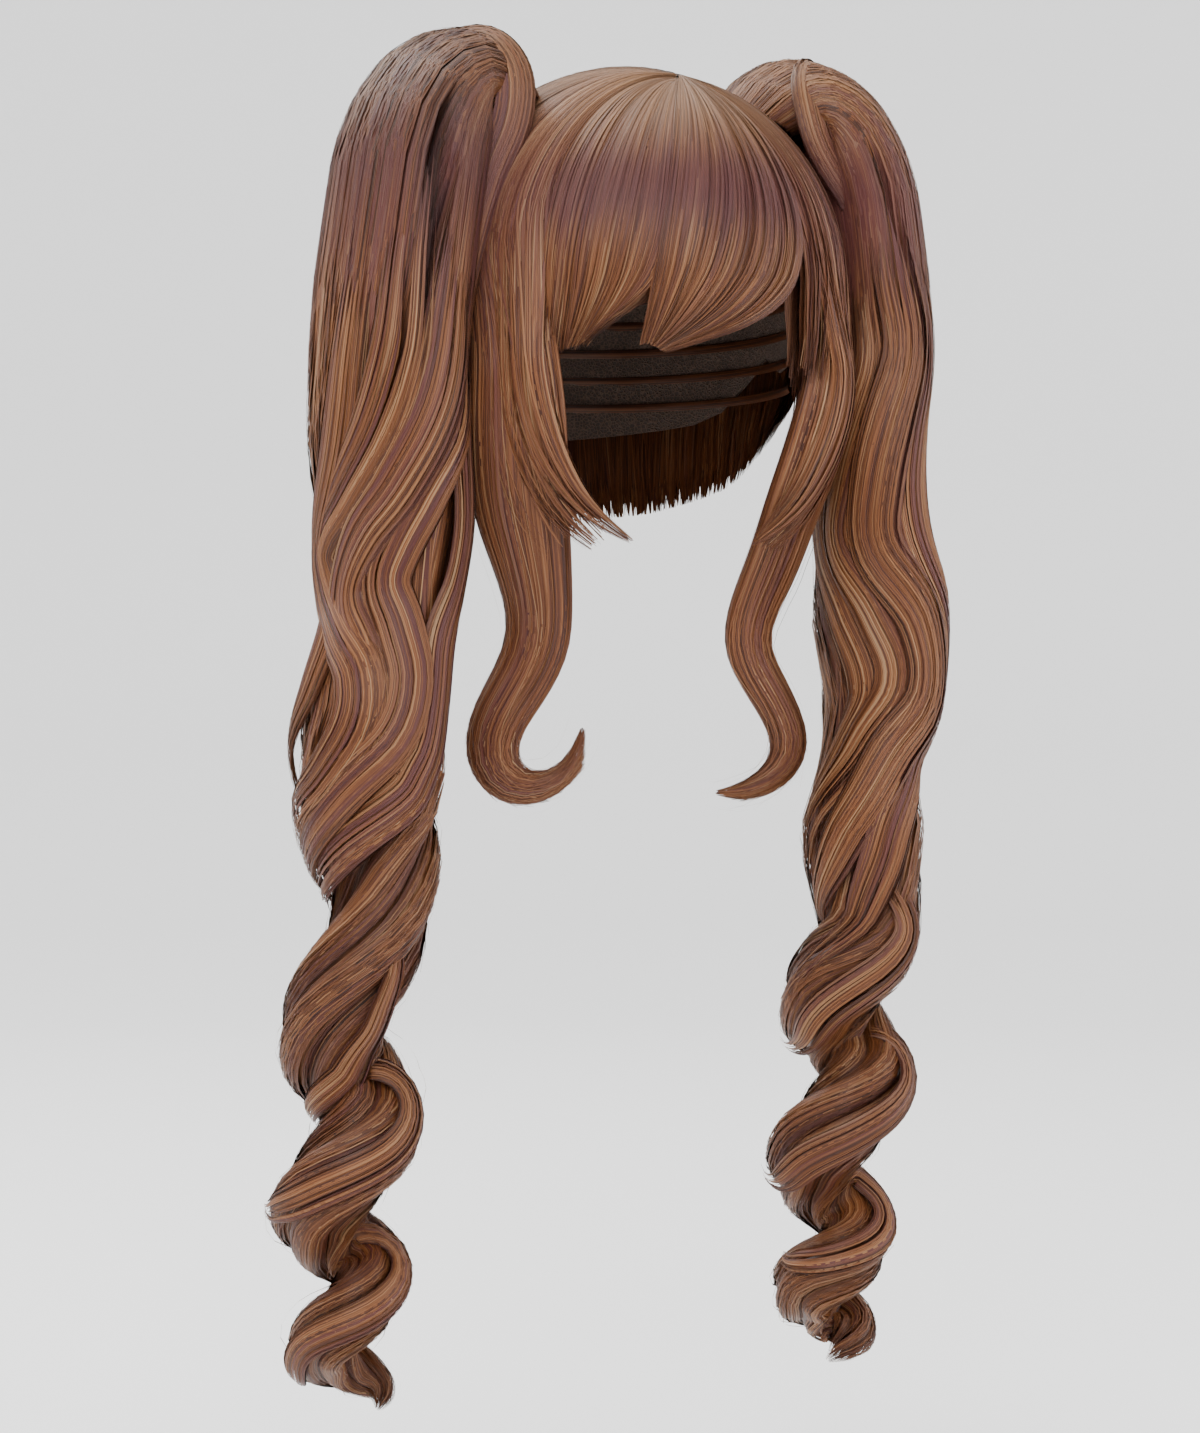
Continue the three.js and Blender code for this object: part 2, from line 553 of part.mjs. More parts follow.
// A pigtail is one bundle of round locks. At its root each section leans as its table says, and further down it
// stands square to the way the bundle runs.
function pigtail(side, rows) {
  const rings = [];
  const points = bundleLocks * 4;
  const nudge = 0.004;
  for (let level = 0; level <= bundleLevels; level += 1) {
    const place = (level / bundleLevels) ** 0.85;
    const at = (name) => column(rows, name, place);
    const centre = bundleMiddle(side, rows, place);
    const lean = at("lean") * degree;
    const leaning = new THREE.Vector3(side * Math.sin(lean), 0, -Math.cos(lean));
    const running = bundleMiddle(side, rows, place + nudge).sub(bundleMiddle(side, rows, place - nudge)).normalize();
    const along = leaning.lerp(running, THREE.MathUtils.smoothstep(at("down"), 0.1, 0.3)).normalize();
    const forward = new THREE.Vector3(0, -1, 0);
    forward.addScaledVector(along, -forward.dot(along)).normalize();
    const outward = new THREE.Vector3().crossVectors(along, forward).multiplyScalar(-side);
    const turn = restTurn * degree + side * 360 * twistShare * at("turns") * degree;
    const wide = outward.clone().multiplyScalar(Math.cos(turn)).addScaledVector(forward, Math.sin(turn));
    const deep = forward.clone().multiplyScalar(Math.cos(turn)).addScaledVector(outward, -Math.sin(turn));
    const halfWidth = Math.max(at("wide") * bundleHalfWidth, 1.5);
    const halfDepth = Math.max(at("deep") * bundleHalfDepth, 1.5);
    rings.push(Array.from({ length: points }, (unused, step) => {
      const angle = (step / points) * 2 * Math.PI;
      const lobe = Math.abs(Math.sin((angle * bundleLocks) / 2));
      const reach = 1 - bundleGroove * (1 - lobe);
      return centre.clone()
        .addScaledVector(wide, Math.cos(angle) * halfWidth * reach)
        .addScaledVector(deep, Math.sin(angle) * halfDepth * reach);
    }));
  }
  return loft(rings);
}

// The space that the hair on the cap fills, grown by a gap, which the pigtails and clips are cut clear of.
function hairSpace(gap) {
  const grown = dome(hairOverTop + gap, hairOverSides + gap, hairOverFrontAndBack + gap);
  const steps = 40;
  const levels = 16;
  const rings = [];
  for (let level = 0; level <= levels; level += 1) {
    const travel = 0.02 + 1.75 * (level / levels);
    rings.push(Array.from({ length: steps }, (unused, step) => (
      domePoint(grown, middle, (step / steps) * 2 * Math.PI, travel)
    )));
  }
  return loft(rings);
}

function clipBlock(side, gap) {
  const half = clipWidth / 2 + gap;
  const shape = new THREE.Shape();
  shape.absarc(clipLength / 2 - clipWidth / 2, 0, half, -Math.PI / 2, Math.PI / 2, false);
  shape.absarc(-clipLength / 2 + clipWidth / 2, 0, half, Math.PI / 2, 1.5 * Math.PI, false);
  const block = new THREE.ExtrudeGeometry(shape, {
    depth: clipHeight + 2 * gap,
    bevelEnabled: false,
    curveSegments: 5,
  });
  block.translate(0, 0, -clipHeight / 2 - gap);
  block.rotateZ(Math.PI / 2);
  block.rotateY(side * clipTilt * degree);
  const reach = clipReachShare * headHalfWidth;
  const travel = Math.asin(reach / hairForm.halfWidth) / (Math.PI / 2);
  const seat = domePoint(hairForm, middle, (side * Math.PI) / 2, travel);
  block.translate(seat.x, clipBackward, seat.z);
  return toSolid(block);
}

const hair = (color) => new THREE.MeshStandardMaterial({ color, roughness: 0.42, metalness: 0 });
const crownBrown = hair(0x9a7152);
const bangsBrown = hair(0x8f5f45);
const tailBrown = hair(0x94664a);
const netBrown = new THREE.MeshStandardMaterial({ color: 0x3a2a22, roughness: 0.8, metalness: 0 });
const clipBrown = new THREE.MeshStandardMaterial({ color: 0x2b201b, roughness: 0.5, metalness: 0 });

const wig = new THREE.Group();

function addPiece(name, solid, material) {
  const mesh = new THREE.Mesh(toGeometry(solid), material);
  mesh.name = name;
  wig.add(mesh);
}

const keepClear = hairSpace(hairSpaceGap);

addPiece("wig_cap", wigCap(), netBrown);
addPiece("crown_hair", crownHair(), crownBrown);
addPiece("back_hair", backHair(), crownBrown);
addPiece("bangs", bangs(), bangsBrown);
addPiece("side_lock_right", sideLock(-1, bangsRightBearing, sideRightBearing, lockRight), crownBrown);
addPiece("side_lock_left", sideLock(1, bangsLeftBearing, sideLeftBearing, lockLeft), crownBrown);
for (const [name, side, rows] of [["right", -1, tailRight], ["left", 1, tailLeft]]) {
  addPiece(`pigtail_clip_${name}`, clipBlock(side, 0).subtract(keepClear), clipBrown);
  const tail = pigtail(side, rows).subtract(keepClear).subtract(clipBlock(side, seatGap));
  addPiece(`pigtail_${name}`, tail, tailBrown);
}

export default wig;
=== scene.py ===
# A long pigtail wig with bangs and curled side locks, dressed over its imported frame.
# Metres. The wearer faces -Y, +X is the wearer's left, and the origin is at the top of the head.
import math

import bmesh
import bpy
import numpy as np
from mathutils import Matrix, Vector


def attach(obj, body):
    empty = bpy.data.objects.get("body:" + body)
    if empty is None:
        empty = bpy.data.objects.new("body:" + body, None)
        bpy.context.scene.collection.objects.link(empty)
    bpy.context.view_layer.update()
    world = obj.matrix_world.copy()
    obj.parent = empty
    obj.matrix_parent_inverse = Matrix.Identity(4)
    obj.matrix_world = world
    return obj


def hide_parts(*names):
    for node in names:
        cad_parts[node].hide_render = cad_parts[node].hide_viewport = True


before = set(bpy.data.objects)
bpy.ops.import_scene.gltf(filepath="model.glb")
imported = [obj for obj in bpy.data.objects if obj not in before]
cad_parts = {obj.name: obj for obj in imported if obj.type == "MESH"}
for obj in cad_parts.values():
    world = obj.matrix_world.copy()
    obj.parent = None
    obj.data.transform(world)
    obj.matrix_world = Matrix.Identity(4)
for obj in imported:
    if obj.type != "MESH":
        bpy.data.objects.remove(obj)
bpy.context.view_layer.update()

# The camera stands at the height of the wearer's chest, turned towards the wearer's right side.
CAMERA_PLACE = (-0.5514, -1.3411, -0.279)
CAMERA_TURN = -22
LENS = 81.95
SENSOR = 36
FAR_END = 50

# The studio: the floor's level, how it rises to its rim, the world, and the lights with their places, sizes and powers
FLOOR = -0.64
FLOOR_RINGS = [(0, 0), (2.5, 0), (3.2, 0.06), (3.8, 0.3), (4.2, 0.8), (4.4, 1.6), (4.5, 3), (4.5, 5)]
FLOOR_SIDES = 64
LIGHTS_FACE = (0, 0, -0.25)
WORLD_STRENGTH = 1.5
LIGHTS = [
    ("key_light", (-1.1, -2.0, 1.4), 1.8, 52),
    ("fill_light", (1.8, -1.6, 0.5), 2.0, 25),
    ("top_light", (-0.5, 0.3, 2.2), 2.2, 42),
    ("back_light", (-1.0, 1.4, 1.6), 1.5, 40),
]
STUDIO_WHITE = (0.9, 0.9, 0.9, 1)

# The colours of the hair from dark to light, the mauve of its bands, and those of the cap and the clips. Ash gold is
# also the colour of the painted highlight towards the top of the head.
DARK_BROWN = (0.028, 0.009, 0.005, 1)
CHESTNUT = (0.07, 0.0215, 0.0075, 1)
CARAMEL = (0.125, 0.041, 0.0125, 1)
LIGHT_CARAMEL = (0.18, 0.07, 0.025, 1)
ASH_GOLD_AND_HIGHLIGHT = (0.25, 0.14, 0.07, 1)
MAUVE = (0.07, 0.019, 0.021, 1)
NET_BROWN = (0.045, 0.028, 0.02, 1)
TAPE_BROWN = (0.09, 0.055, 0.038, 1)
CLIP_BROWN = (0.02, 0.012, 0.009, 1)

MM = 0.001
SEED = 11

# How fine the streaks of the hair are across a ribbon, along it and from one ribbon to the next
STRAND_GRAIN = (1800, 9, 90)
BAND_GRAIN = (260, 9, 40)

# The head form under the cap
HEAD_HALF_WIDTH = 0.076
HEAD_HALF_DEPTH = 0.095
HEAD_DOME_HEIGHT = 0.095
CAP_NAPE_HEM = 0.15
SEAT_OVER = 0.0032
HAIR_OVER_TOP = 0.008
HAIR_OVER_SIDES = 0.014
HAIR_OVER_ENDS = 0.013
WHORL = (0.008, -0.048)
WHORL_OPENING = 0.015
FALL_UNIT = 0.1
HANGING_EDGE = 0.003
GROOVE = 0.0022

# The hair
BANGS_DROP = 0.128
BANGS_LIFT = 0.0017
BANGS_SHADE = 0.22
BACK_DROP = 0.188
SIDE_DROP = 0.165
SIDE_SHADE = 0.15
LOCK_DROP = 0.312
LOCK_REACH = 0.075
LOCK_FORWARD = 0.078
LOCK_HALF_WIDTH = 0.022
LOCK_HALF_THICKNESS = 0.008
TAIL_LENGTH = 0.584
TAIL_TOP = 0.017
TAIL_REACH = 0.121
TAIL_FORWARD = 0.045
TAIL_HALF_WIDTH = 0.028
TAIL_HALF_DEPTH = 0.045
CURL_RADIUS = 0.013
CURL_BEARING = -22
REST_TURN = 16
SECTION_TWIST = 0.3
STRAND_TWIST = 0.4
TAIL_LOCKS = 5
# Where the locks of a pigtail lie and how full they are, in degrees and in shares of the section
FIRST_LOCK = 36
LOCK_MIDDLE = 0.6
LOCK_FILL = 0.4
CORE_MIDDLE = 0.52
TAIL_CORE_FILL = 0.78
SIDE_CORE_FILL = 0.72
# The place past which a pigtail hangs, and how far down its ringlets begin
PAST_ARCH = 0.12
RINGLETS_BEGIN = (0.62, 0.68)

# The bearings from the whorl, in degrees, at which one piece of hair meets the next, and how far they lap
SIDE_RIGHT = -113
SIDE_LEFT = 117
BANGS_RIGHT = -71
BANGS_NOTCH = -24
BANGS_LEFT = 44
BANGS_LAP = 3
SEAM_FORWARD = 8
SEAM_BACKWARD = 12

TINY = 1e-9


def smooth_step(low, high, value):
    t = np.clip((value - low) / (high - low), 0, 1)
    return t * t * (3 - 2 * t)


def unit(vectors):
    return vectors / np.maximum(np.linalg.norm(vectors, axis=-1, keepdims=True), TINY)


def square_to(vectors, along):
    return unit(vectors - along * np.sum(vectors * along, axis=-1, keepdims=True))


def curve_through(table, place):
    """The row of a table at each place from 0 to 1, on a smooth curve through the rows."""
    rows = np.asarray(table, float)
    at = np.clip(place, 0, 1) * (len(rows) - 1)
    row = np.minimum(at.astype(int), len(rows) - 2)
    t = (at - row)[..., None]
    a, b, c, d = (rows[np.clip(row + step, 0, len(rows) - 1)] for step in (-1, 0, 1, 2))
    return b + 0.5 * t * (c - a + t * (2 * a - 5 * b + 4 * c - d + t * (3 * (b - c) + d - a)))


def straight_between(table, place):
    """The row of a table, without its first column, by straight lines between its rows."""
    rows = np.asarray(table, float)
    return np.stack([np.interp(place, rows[:, 0], column) for column in rows.T[1:]], axis=-1)


# How far the head form draws in below its widest level, by the share of the way to the nape
DRAW_IN = [(0, 1), (0.45, 0.985), (1, 0.93)]
SEAT = (SEAT_OVER, SEAT_OVER, SEAT_OVER)
HAIR = (HAIR_OVER_TOP, HAIR_OVER_SIDES, HAIR_OVER_ENDS)


def dome_point(over, bearing, travel):
    """Points of the head form, grown by so much over the top, sides and ends. The bearing in degrees is seen from
    the whorl, and the travel runs to 1 at the widest level and then straight down."""
    wide, deep, high = HEAD_HALF_WIDTH + over[1], HEAD_HALF_DEPTH + over[2], HEAD_DOME_HEIGHT + over[0]
    turn = np.radians(bearing)
    dx, dy = np.sin(turn), -np.cos(turn)
    a = (dx / wide) ** 2 + (dy / deep) ** 2
    b = WHORL[0] * dx / wide ** 2 + WHORL[1] * dy / deep ** 2
    c = (WHORL[0] / wide) ** 2 + (WHORL[1] / deep) ** 2 - 1
    reach = (-b + np.sqrt(b * b - a * c)) / a
    out = reach * np.sin(np.minimum(travel, 1) * math.pi / 2)
    x, y = WHORL[0] + out * dx, WHORL[1] + out * dy
    level = np.sqrt(np.maximum(0, 1 - (x / wide) ** 2 - (y / deep) ** 2))
    below = np.maximum(0, travel - 1) * FALL_UNIT
    share = straight_between(DRAW_IN, below / (CAP_NAPE_HEM - HEAD_DOME_HEIGHT))[..., 0]
    return np.stack([x * share, y * share, -HEAD_DOME_HEIGHT + high * level - below], axis=-1)


def off_dome(spots):
    """The way straight out of the head form at points on or near it."""
    wide, deep, high = HEAD_HALF_WIDTH + HAIR[1], HEAD_HALF_DEPTH + HAIR[2], HEAD_DOME_HEIGHT + HAIR[0]
    up = np.maximum(0, spots[..., 2] + HEAD_DOME_HEIGHT) / high ** 2
    return unit(np.stack([spots[..., 0] / wide ** 2, spots[..., 1] / deep ** 2, up], axis=-1))


def travel_at_depth(bearing, depth):
    """How far the hair has travelled from the whorl when it is so deep under the top."""
    low, high = np.zeros_like(bearing), np.ones_like(bearing)
    for _ in range(24):
        half = (low + high) / 2
        above = dome_point(HAIR, bearing, half)[..., 2] > -depth
        low, high = np.where(above, half, low), np.where(above, high, half)
    return np.where(depth >= HEAD_DOME_HEIGHT, 1 + (depth - HEAD_DOME_HEIGHT) / FALL_UNIT, low)


# How far a strand wanders across its curtain
WANDER = 0.006
# Each curtain of hair: across, depth of the end, sweep in degrees, how proud in metres, how far the ends stand off
# and how late the sweep comes
BANGS_RIGHT_ENDS = [
    (0, 1, -1, 0.001, 0.9, 2), (0.3, 0.99, -8, 0.0015, 0.9, 3), (0.6, 0.98, -18, 0.001, 0.9, 4.5),
    (0.85, 0.95, -28, 0, 0.9, 6), (1, 0.92, -34, 0, 0.9, 6.5),
]
BANGS_LEFT_ENDS = [
    (0, 0.98, -14, 0, 0.9, 2), (0.12, 0.98, -18, 0.001, 0.9, 2.4), (0.4, 0.99, -34, 0.0015, 0.9, 4),
    (0.65, 1, -50, 0.0015, 0.9, 5.5), (0.85, 1, -62, 0.001, 0.9, 6.5), (1, 1, -72, 0, 0.9, 7),
]
SIDE_ENDS = [
    (0, 0.78, 0, 0.001, 0.3, 2), (0.35, 0.96, 3, 0.007, 0.3, 2), (0.7, 1, 3, 0.0005, 0.3, 2),
    (1, 0.84, 0, 0, 0.3, 2),
]
SEAM_ENDS = [(0, 0.8, 0, 0, 0.3, 2), (1, 0.75, 0, 0, 0.3, 2)]
NAPE_ENDS = [
    (0, 0.8, 0, 0, 0, 2), (0.2, 0.93, 0, 0, 0, 2), (0.35, 0.98, 0, 0, 0, 2), (0.5, 1, 0, 0, 0, 2),
    (0.65, 0.97, 0, 0, 0, 2), (0.8, 0.94, 0, 0, 0, 2), (1, 0.8, 0, 0, 0, 2),
]
# The inner and outer face of the back hair below the widest level, in shares of the wall from the seat to the form
NAPE_LAYERS = [(0, 0, 1), (0.3, 0.12, 1.04), (0.6, 0.1, 1), (0.85, -0.25, 0.5), (1, -0.65, -0.3)]


def hanging(start, stop, rows, drop, locks, bands, lift=0, shade=0, nape=False):
    """A curtain of hair from one bearing to another, with its rows of ends and how many locks and bands it has."""
    return {"from": start, "to": stop, "rows": rows, "drop": drop, "locks": locks, "bands": bands, "lift": lift,
            "shade": shade, "nape": nape}


def curtain_points(curtain, across, share, layer):
    """Points and outward directions of strands that hang in a curtain from the whorl. Across, share and layer are
    arrays of one shape; the layer is 0 next to the cap and 1 on the outside."""
    ends, sweep, proud, hang, bend = np.moveaxis(straight_between(curtain["rows"], across), -1, 0)
    start, stop = curtain["from"], curtain["to"]
    straight = start + (stop - start) * across
    end = travel_at_depth(straight, ends * curtain["drop"])
    travel = WHORL_OPENING + (end - WHORL_OPENING) * share
    bearing = straight + np.sign(stop - start) * sweep * (travel / end) ** bend
    seat = dome_point(SEAT, bearing, travel)
    wall = dome_point(HAIR, bearing, travel) - seat
    thickness = np.linalg.norm(wall, axis=-1)
    outward = wall / thickness[..., None]
    fullness = np.sin(np.minimum(travel, 1) * math.pi / 2)
    groove = GROOVE * fullness * (1 - np.abs(np.sin(across * curtain["locks"] * math.pi))) if curtain["locks"] else 0
    if curtain["nape"]:
        down = np.clip((travel - 1) / np.maximum(end - 1, TINY), 0, 1)
        inner, outer = np.moveaxis(straight_between(NAPE_LAYERS, down), -1, 0)
        under, over = inner * thickness, outer * thickness - groove
    else:
        under = (thickness - HANGING_EDGE) * np.minimum(2 * np.maximum(travel - 1, 0), 1) * hang
        over = thickness - groove + proud * fullness + curtain["lift"]
    spots = seat + outward * (under + (over - under) * layer)[..., None]
    return spots, off_dome(spots)


def clumped(across, share, clumps, pull):
    """Draws strands together into small clumps as they run to their ends."""
    centres = (np.arange(clumps) + 0.5 + 0.3 * np.sin(7.3 * np.arange(clumps))) / clumps
    nearest = centres[np.argmin(np.abs(across[:, None] - centres[None, :]), axis=1)]
    draw = pull * smooth_step(0.45, 1, share)
    return across[:, None] + (nearest - across)[:, None] * draw


def curtain_strands(curtain, count, points, rng, width, clumps, pull, layers=(0.55, 1.0), starts=0.12, shorter=0.05,
                    tip=0.22, ripple=0.05):
    """Strands of a curtain from the whorl to its ends: half widths, clumps and how far these draw together, layers,
    and how late strands start, how much shorter some end, how long their points are and how much they ripple."""
    across = (np.arange(count) + rng.uniform(0, 1, count)) / count
    first = rng.uniform(0, starts, count)
    last = 1 - shorter * rng.uniform(0, 1, count) ** 2
    step = np.linspace(0, 1, points)
    share = first[:, None] + (last - first)[:, None] * step[None, :]
    layer = rng.uniform(*layers, count)
    spread = clumped(across, share, clumps, pull)
    phase = rng.uniform(0, 2 * math.pi, count)[:, None]
    spread = spread + WANDER * np.sin(share * rng.uniform(4, 9, count)[:, None] + phase) * share
    lift = ripple * np.sin(share * 7 + phase * 1.7)
    taper = 1 - 0.6 * smooth_step(0.7, 1, share) * (1 - layer[:, None])
    gathered = 1 - 0.85 * (1 - smooth_step(0, 0.3, share)) * (layer > 0.5)[:, None]
    level = 1 + ((layer[:, None] + lift) * taper - 1) * gathered
    spots, outward = curtain_points(curtain, np.clip(spread, 0, 1), share, level)
    half = half_widths(rng, width, count) * end_taper(step, 0.25, tip)
    near_whorl = smooth_step(0, 0.35, share)
    # Painted shade: strands in the lower layers, under the outer ones, are darker; the curtain adds its own shade on
    # top.
    shade = curtain["shade"] + 0.8 * np.clip(1 - layer, 0, 1)
    return strands(spots, outward, half * (0.4 + 0.6 * near_whorl), shade, banded(across, curtain["bands"], rng))


def half_widths(rng, width, count):
    """The half width of each strand, drawn between two sizes in millimetres."""
    return rng.uniform(width[0] * MM, width[1] * MM, count)[:, None]


def end_taper(step, root, tip):
    """Narrow at the root, full along the length and pointed at the tip."""
    return (0.5 + 0.5 * smooth_step(0, root, step)) * (0.12 + 0.88 * (1 - smooth_step(1 - tip, 1, step)))[None, :]


def banded(position, bands, rng):
    """The tone and the plum tint of strands, which change from band to band of neighbouring strands."""
    band = np.floor(position * bands + rng.uniform(-0.3, 0.3, len(position))).astype(int) % bands
    tone = 0.5 * rng.uniform(0, 1, bands)[band] + 0.5 * rng.uniform(0, 1, len(position))
    plum = smooth_step(0.72, 0.9, rng.uniform(0, 1, bands)[band]) * rng.uniform(0.4, 1, len(position))
    return tone, plum


def strands(spots, facing, half, shade, bands):
    """One group of strands: points along each, the way each faces, its half width and how far it is darkened, mostly by
    painted shade where it lies deep.
    """
    along = np.zeros(spots.shape[:2])
    along[:, 1:] = np.cumsum(np.linalg.norm(np.diff(spots, axis=1), axis=-1), axis=1)
    tangent = unit(np.gradient(spots, axis=1))
    return {
        "spots": spots,
        "facing": square_to(facing, tangent),
        "half_width": np.broadcast_to(half, spots.shape[:2]),
        "shade": np.broadcast_to(np.asarray(shade).reshape(len(spots), -1), spots.shape[:2]),
        "along": along,
        "tone": np.repeat(bands[0][:, None], spots.shape[1], axis=1),
        "plum": np.repeat(bands[1][:, None], spots.shape[1], axis=1),
    }


# The pigtails: down, out, fore, wide, deep, lean in degrees, curl and turns
TAIL_RIGHT = [
    (0.057, 0.47, 0.3, 0.5, 0.6, 150, 0, 0), (0.042, 0.55, 0.36, 0.62, 0.75, 125, 0, 0),
    (0.036, 0.66, 0.44, 0.75, 0.86, 90, 0, 0), (0.055, 0.78, 0.5, 0.9, 0.95, 50, 0, 0),
    (0.094, 0.87, 0.54, 0.97, 1, 20, 0, 0), (0.142, 0.91, 0.56, 1, 1, 4, 0, 0),
    (0.21, 0.96, 0.6, 1, 1, 0, 0, 0), (0.297, 0.98, 0.62, 1, 0.98, 0, 0, 0),
    (0.371, 0.955, 0.66, 0.95, 0.93, 0, 0.1, 0), (0.431, 0.97, 0.72, 0.88, 0.83, 0, 0.15, 0.04),
    (0.496, 1.03, 0.84, 1.02, 0.85, 0, 0.2, 0.08), (0.541, 1.06, 0.89, 1.12, 0.86, 0, 0.25, 0.15),
    (0.592, 1.07, 0.93, 1.02, 0.75, 0, 0.35, 0.3), (0.644, 1.08, 0.95, 0.76, 0.55, 0, 0.5, 0.55),
    (0.696, 1.12, 0.95, 0.76, 0.5, 0, 0.65, 0.8), (0.747, 1.15, 0.95, 0.82, 0.5, 0, 0.75, 1.1),
    (0.802, 1.16, 0.95, 0.75, 0.46, 0, 0.8, 1.55), (0.866, 1.18, 0.95, 0.68, 0.42, 0, 0.85, 2.05),
    (0.907, 1.17, 0.95, 0.55, 0.35, 0, 0.9, 2.5), (0.958, 1.16, 0.95, 0.5, 0.3, 0, 0.85, 3),
    (0.983, 1.12, 0.95, 0.32, 0.2, 0, 0.75, 3.35), (1, 1.1, 0.95, 0.06, 0.04, 0, 0.55, 3.6),
]
TAIL_LEFT = [
    (0.057, 0.47, 0.3, 0.5, 0.6, 150, 0, 0), (0.042, 0.55, 0.36, 0.62, 0.75, 125, 0, 0),
    (0.038, 0.65, 0.42, 0.74, 0.86, 90, 0, 0), (0.057, 0.77, 0.46, 0.87, 0.95, 50, 0, 0),
    (0.094, 0.86, 0.48, 0.94, 1, 20, 0, 0), (0.135, 0.9, 0.5, 0.95, 0.98, 4, 0, 0),
    (0.21, 0.94, 0.5, 0.95, 1, 0, 0, 0), (0.287, 0.9, 0.55, 0.93, 0.98, 0, 0, 0),
    (0.371, 0.91, 0.62, 0.92, 0.93, 0, 0.1, 0), (0.431, 0.9, 0.71, 0.96, 0.9, 0, 0.15, -0.1),
    (0.496, 0.87, 0.84, 0.86, 0.82, 0, 0.2, -0.1), (0.541, 0.81, 0.89, 0.72, 0.74, 0, 0.25, -0.05),
    (0.596, 0.78, 0.93, 1, 0.74, 0, 0.35, 0), (0.672, 0.79, 0.95, 0.82, 0.58, 0, 0.6, 0.15),
    (0.72, 0.76, 0.95, 0.78, 0.5, 0, 0.75, 0.5), (0.778, 0.74, 0.95, 0.74, 0.45, 0, 0.8, 1),
    (0.84, 0.71, 0.95, 0.74, 0.44, 0, 0.85, 1.5), (0.903, 0.69, 0.95, 0.58, 0.36, 0, 0.85, 2.05),
    (0.939, 0.68, 0.95, 0.62, 0.36, 0, 0.75, 2.5), (0.969, 0.69, 0.95, 0.48, 0.28, 0, 0.65, 2.95),
    (0.992, 0.71, 0.95, 0.06, 0.04, 0, 0.55, 3.35),
]
# Locks that lie on each pigtail: down, across as the camera sees it, half width and lift in millimetres
OVER_RIGHT = [
    [(0.14, -0.42, 8, -6), (0.2, -0.4, 10, -3), (0.26, -0.4, 11, 0), (0.31, -0.47, 12, 1), (0.365, -0.75, 11, 1.5),
     (0.41, -0.85, 10, 1), (0.445, -0.6, 10, 1), (0.49, -0.63, 9, 1), (0.53, -0.86, 6, 0.5), (0.57, -0.95, 2, -1)],
    [(0.1, 0.15, 8, -6), (0.16, 0.2, 10, -3), (0.22, 0.25, 12, 0), (0.26, 0.2, 13, 1), (0.305, 0, 13, 2),
     (0.345, -0.42, 12, 2), (0.375, -0.74, 11, 1.5), (0.4, -0.82, 11, 1.5), (0.43, -0.68, 11, 1.5),
     (0.462, -0.32, 11, 2), (0.49, 0.12, 12, 2.5), (0.52, 0.24, 12, 2.5), (0.55, 0.03, 11, 2.5),
     (0.57, -0.38, 10, 2), (0.6, -0.7, 8, 1), (0.64, -0.85, 3, -1)],
    [(0.15, 0.85, 8, -6), (0.2, 0.8, 10, -2.5), (0.26, 0.72, 12, 0), (0.305, 0.55, 12, 1.5), (0.345, 0.2, 12, 2.5),
     (0.38, -0.2, 12, 2.5), (0.415, -0.41, 11, 2), (0.445, -0.34, 11, 2), (0.475, 0, 11, 2), (0.505, 0.26, 10, 1.5),
     (0.535, 0.38, 9, 1.5), (0.565, 0.25, 7, 1), (0.61, 0, 3, -1)],
    [(0.2, 0.9, 8, -5), (0.26, 0.93, 9, -1), (0.31, 0.83, 10, 1), (0.355, 0.45, 11, 1.5), (0.39, 0.2, 11, 1.5),
     (0.42, 0.14, 11, 1.5), (0.455, 0.42, 11, 1.5), (0.49, 0.66, 11, 2), (0.527, 0.62, 11, 2.5), (0.56, 0.24, 11, 2.5),
     (0.588, -0.2, 10, 2), (0.61, -0.6, 7, 1), (0.64, -0.85, 2, -1)],
    [(0.22, 0.95, 7, -4), (0.28, 0.97, 8, -0.5), (0.33, 0.95, 9, 0.5), (0.38, 0.96, 9, 0.5), (0.42, 0.96, 9, 0.5),
     (0.457, 0.9, 9, 1), (0.5, 0.94, 9.5, 1), (0.545, 0.93, 10, 1.5), (0.575, 0.82, 10, 2), (0.61, 0.25, 10, 2),
     (0.635, -0.4, 8, 1.5), (0.66, -0.85, 3, -1)],
]
OVER_LEFT = [
    [(0.13, 0.65, 8, -5), (0.2, 0.7, 10, -1), (0.26, 0.75, 11, 0.5), (0.34, 0.5, 11, 1.5), (0.4, 0.55, 11, 1.5),
     (0.46, 0.85, 11, 1), (0.52, 0.8, 11, 1), (0.58, 0.4, 11, 1.5), (0.63, 0.2, 10, 1.5), (0.68, -0.3, 7, 1),
     (0.72, -0.8, 3, -1)],
    [(0.12, 0.3, 8, -5), (0.18, 0.3, 11, -1), (0.25, 0.4, 12, 0.5), (0.33, 0.05, 12, 2), (0.39, -0.1, 12, 2),
     (0.45, 0.3, 12, 2), (0.5, 0.45, 12, 2), (0.56, 0.05, 11, 2), (0.61, -0.4, 10, 1.5), (0.65, -0.8, 6, 1),
     (0.68, -0.95, 3, -1)],
    [(0.14, -0.1, 8, -5), (0.2, -0.1, 10, -1), (0.26, 0, 11, 0.5), (0.33, -0.4, 11, 1.5), (0.38, -0.6, 11, 1.5),
     (0.44, -0.3, 11, 1.5), (0.49, 0, 11, 1.5), (0.54, -0.3, 10, 1.5), (0.58, -0.75, 7, 1), (0.62, -0.95, 3, -1)],
    [(0.18, -0.75, 7, -4), (0.25, -0.8, 8, -0.5), (0.32, -0.85, 9, 0.5), (0.38, -0.9, 9, 0.5), (0.44, -0.75, 9, 1),
     (0.5, -0.5, 9, 1), (0.55, -0.8, 6, 0.5), (0.58, -0.95, 3, -1)],
]
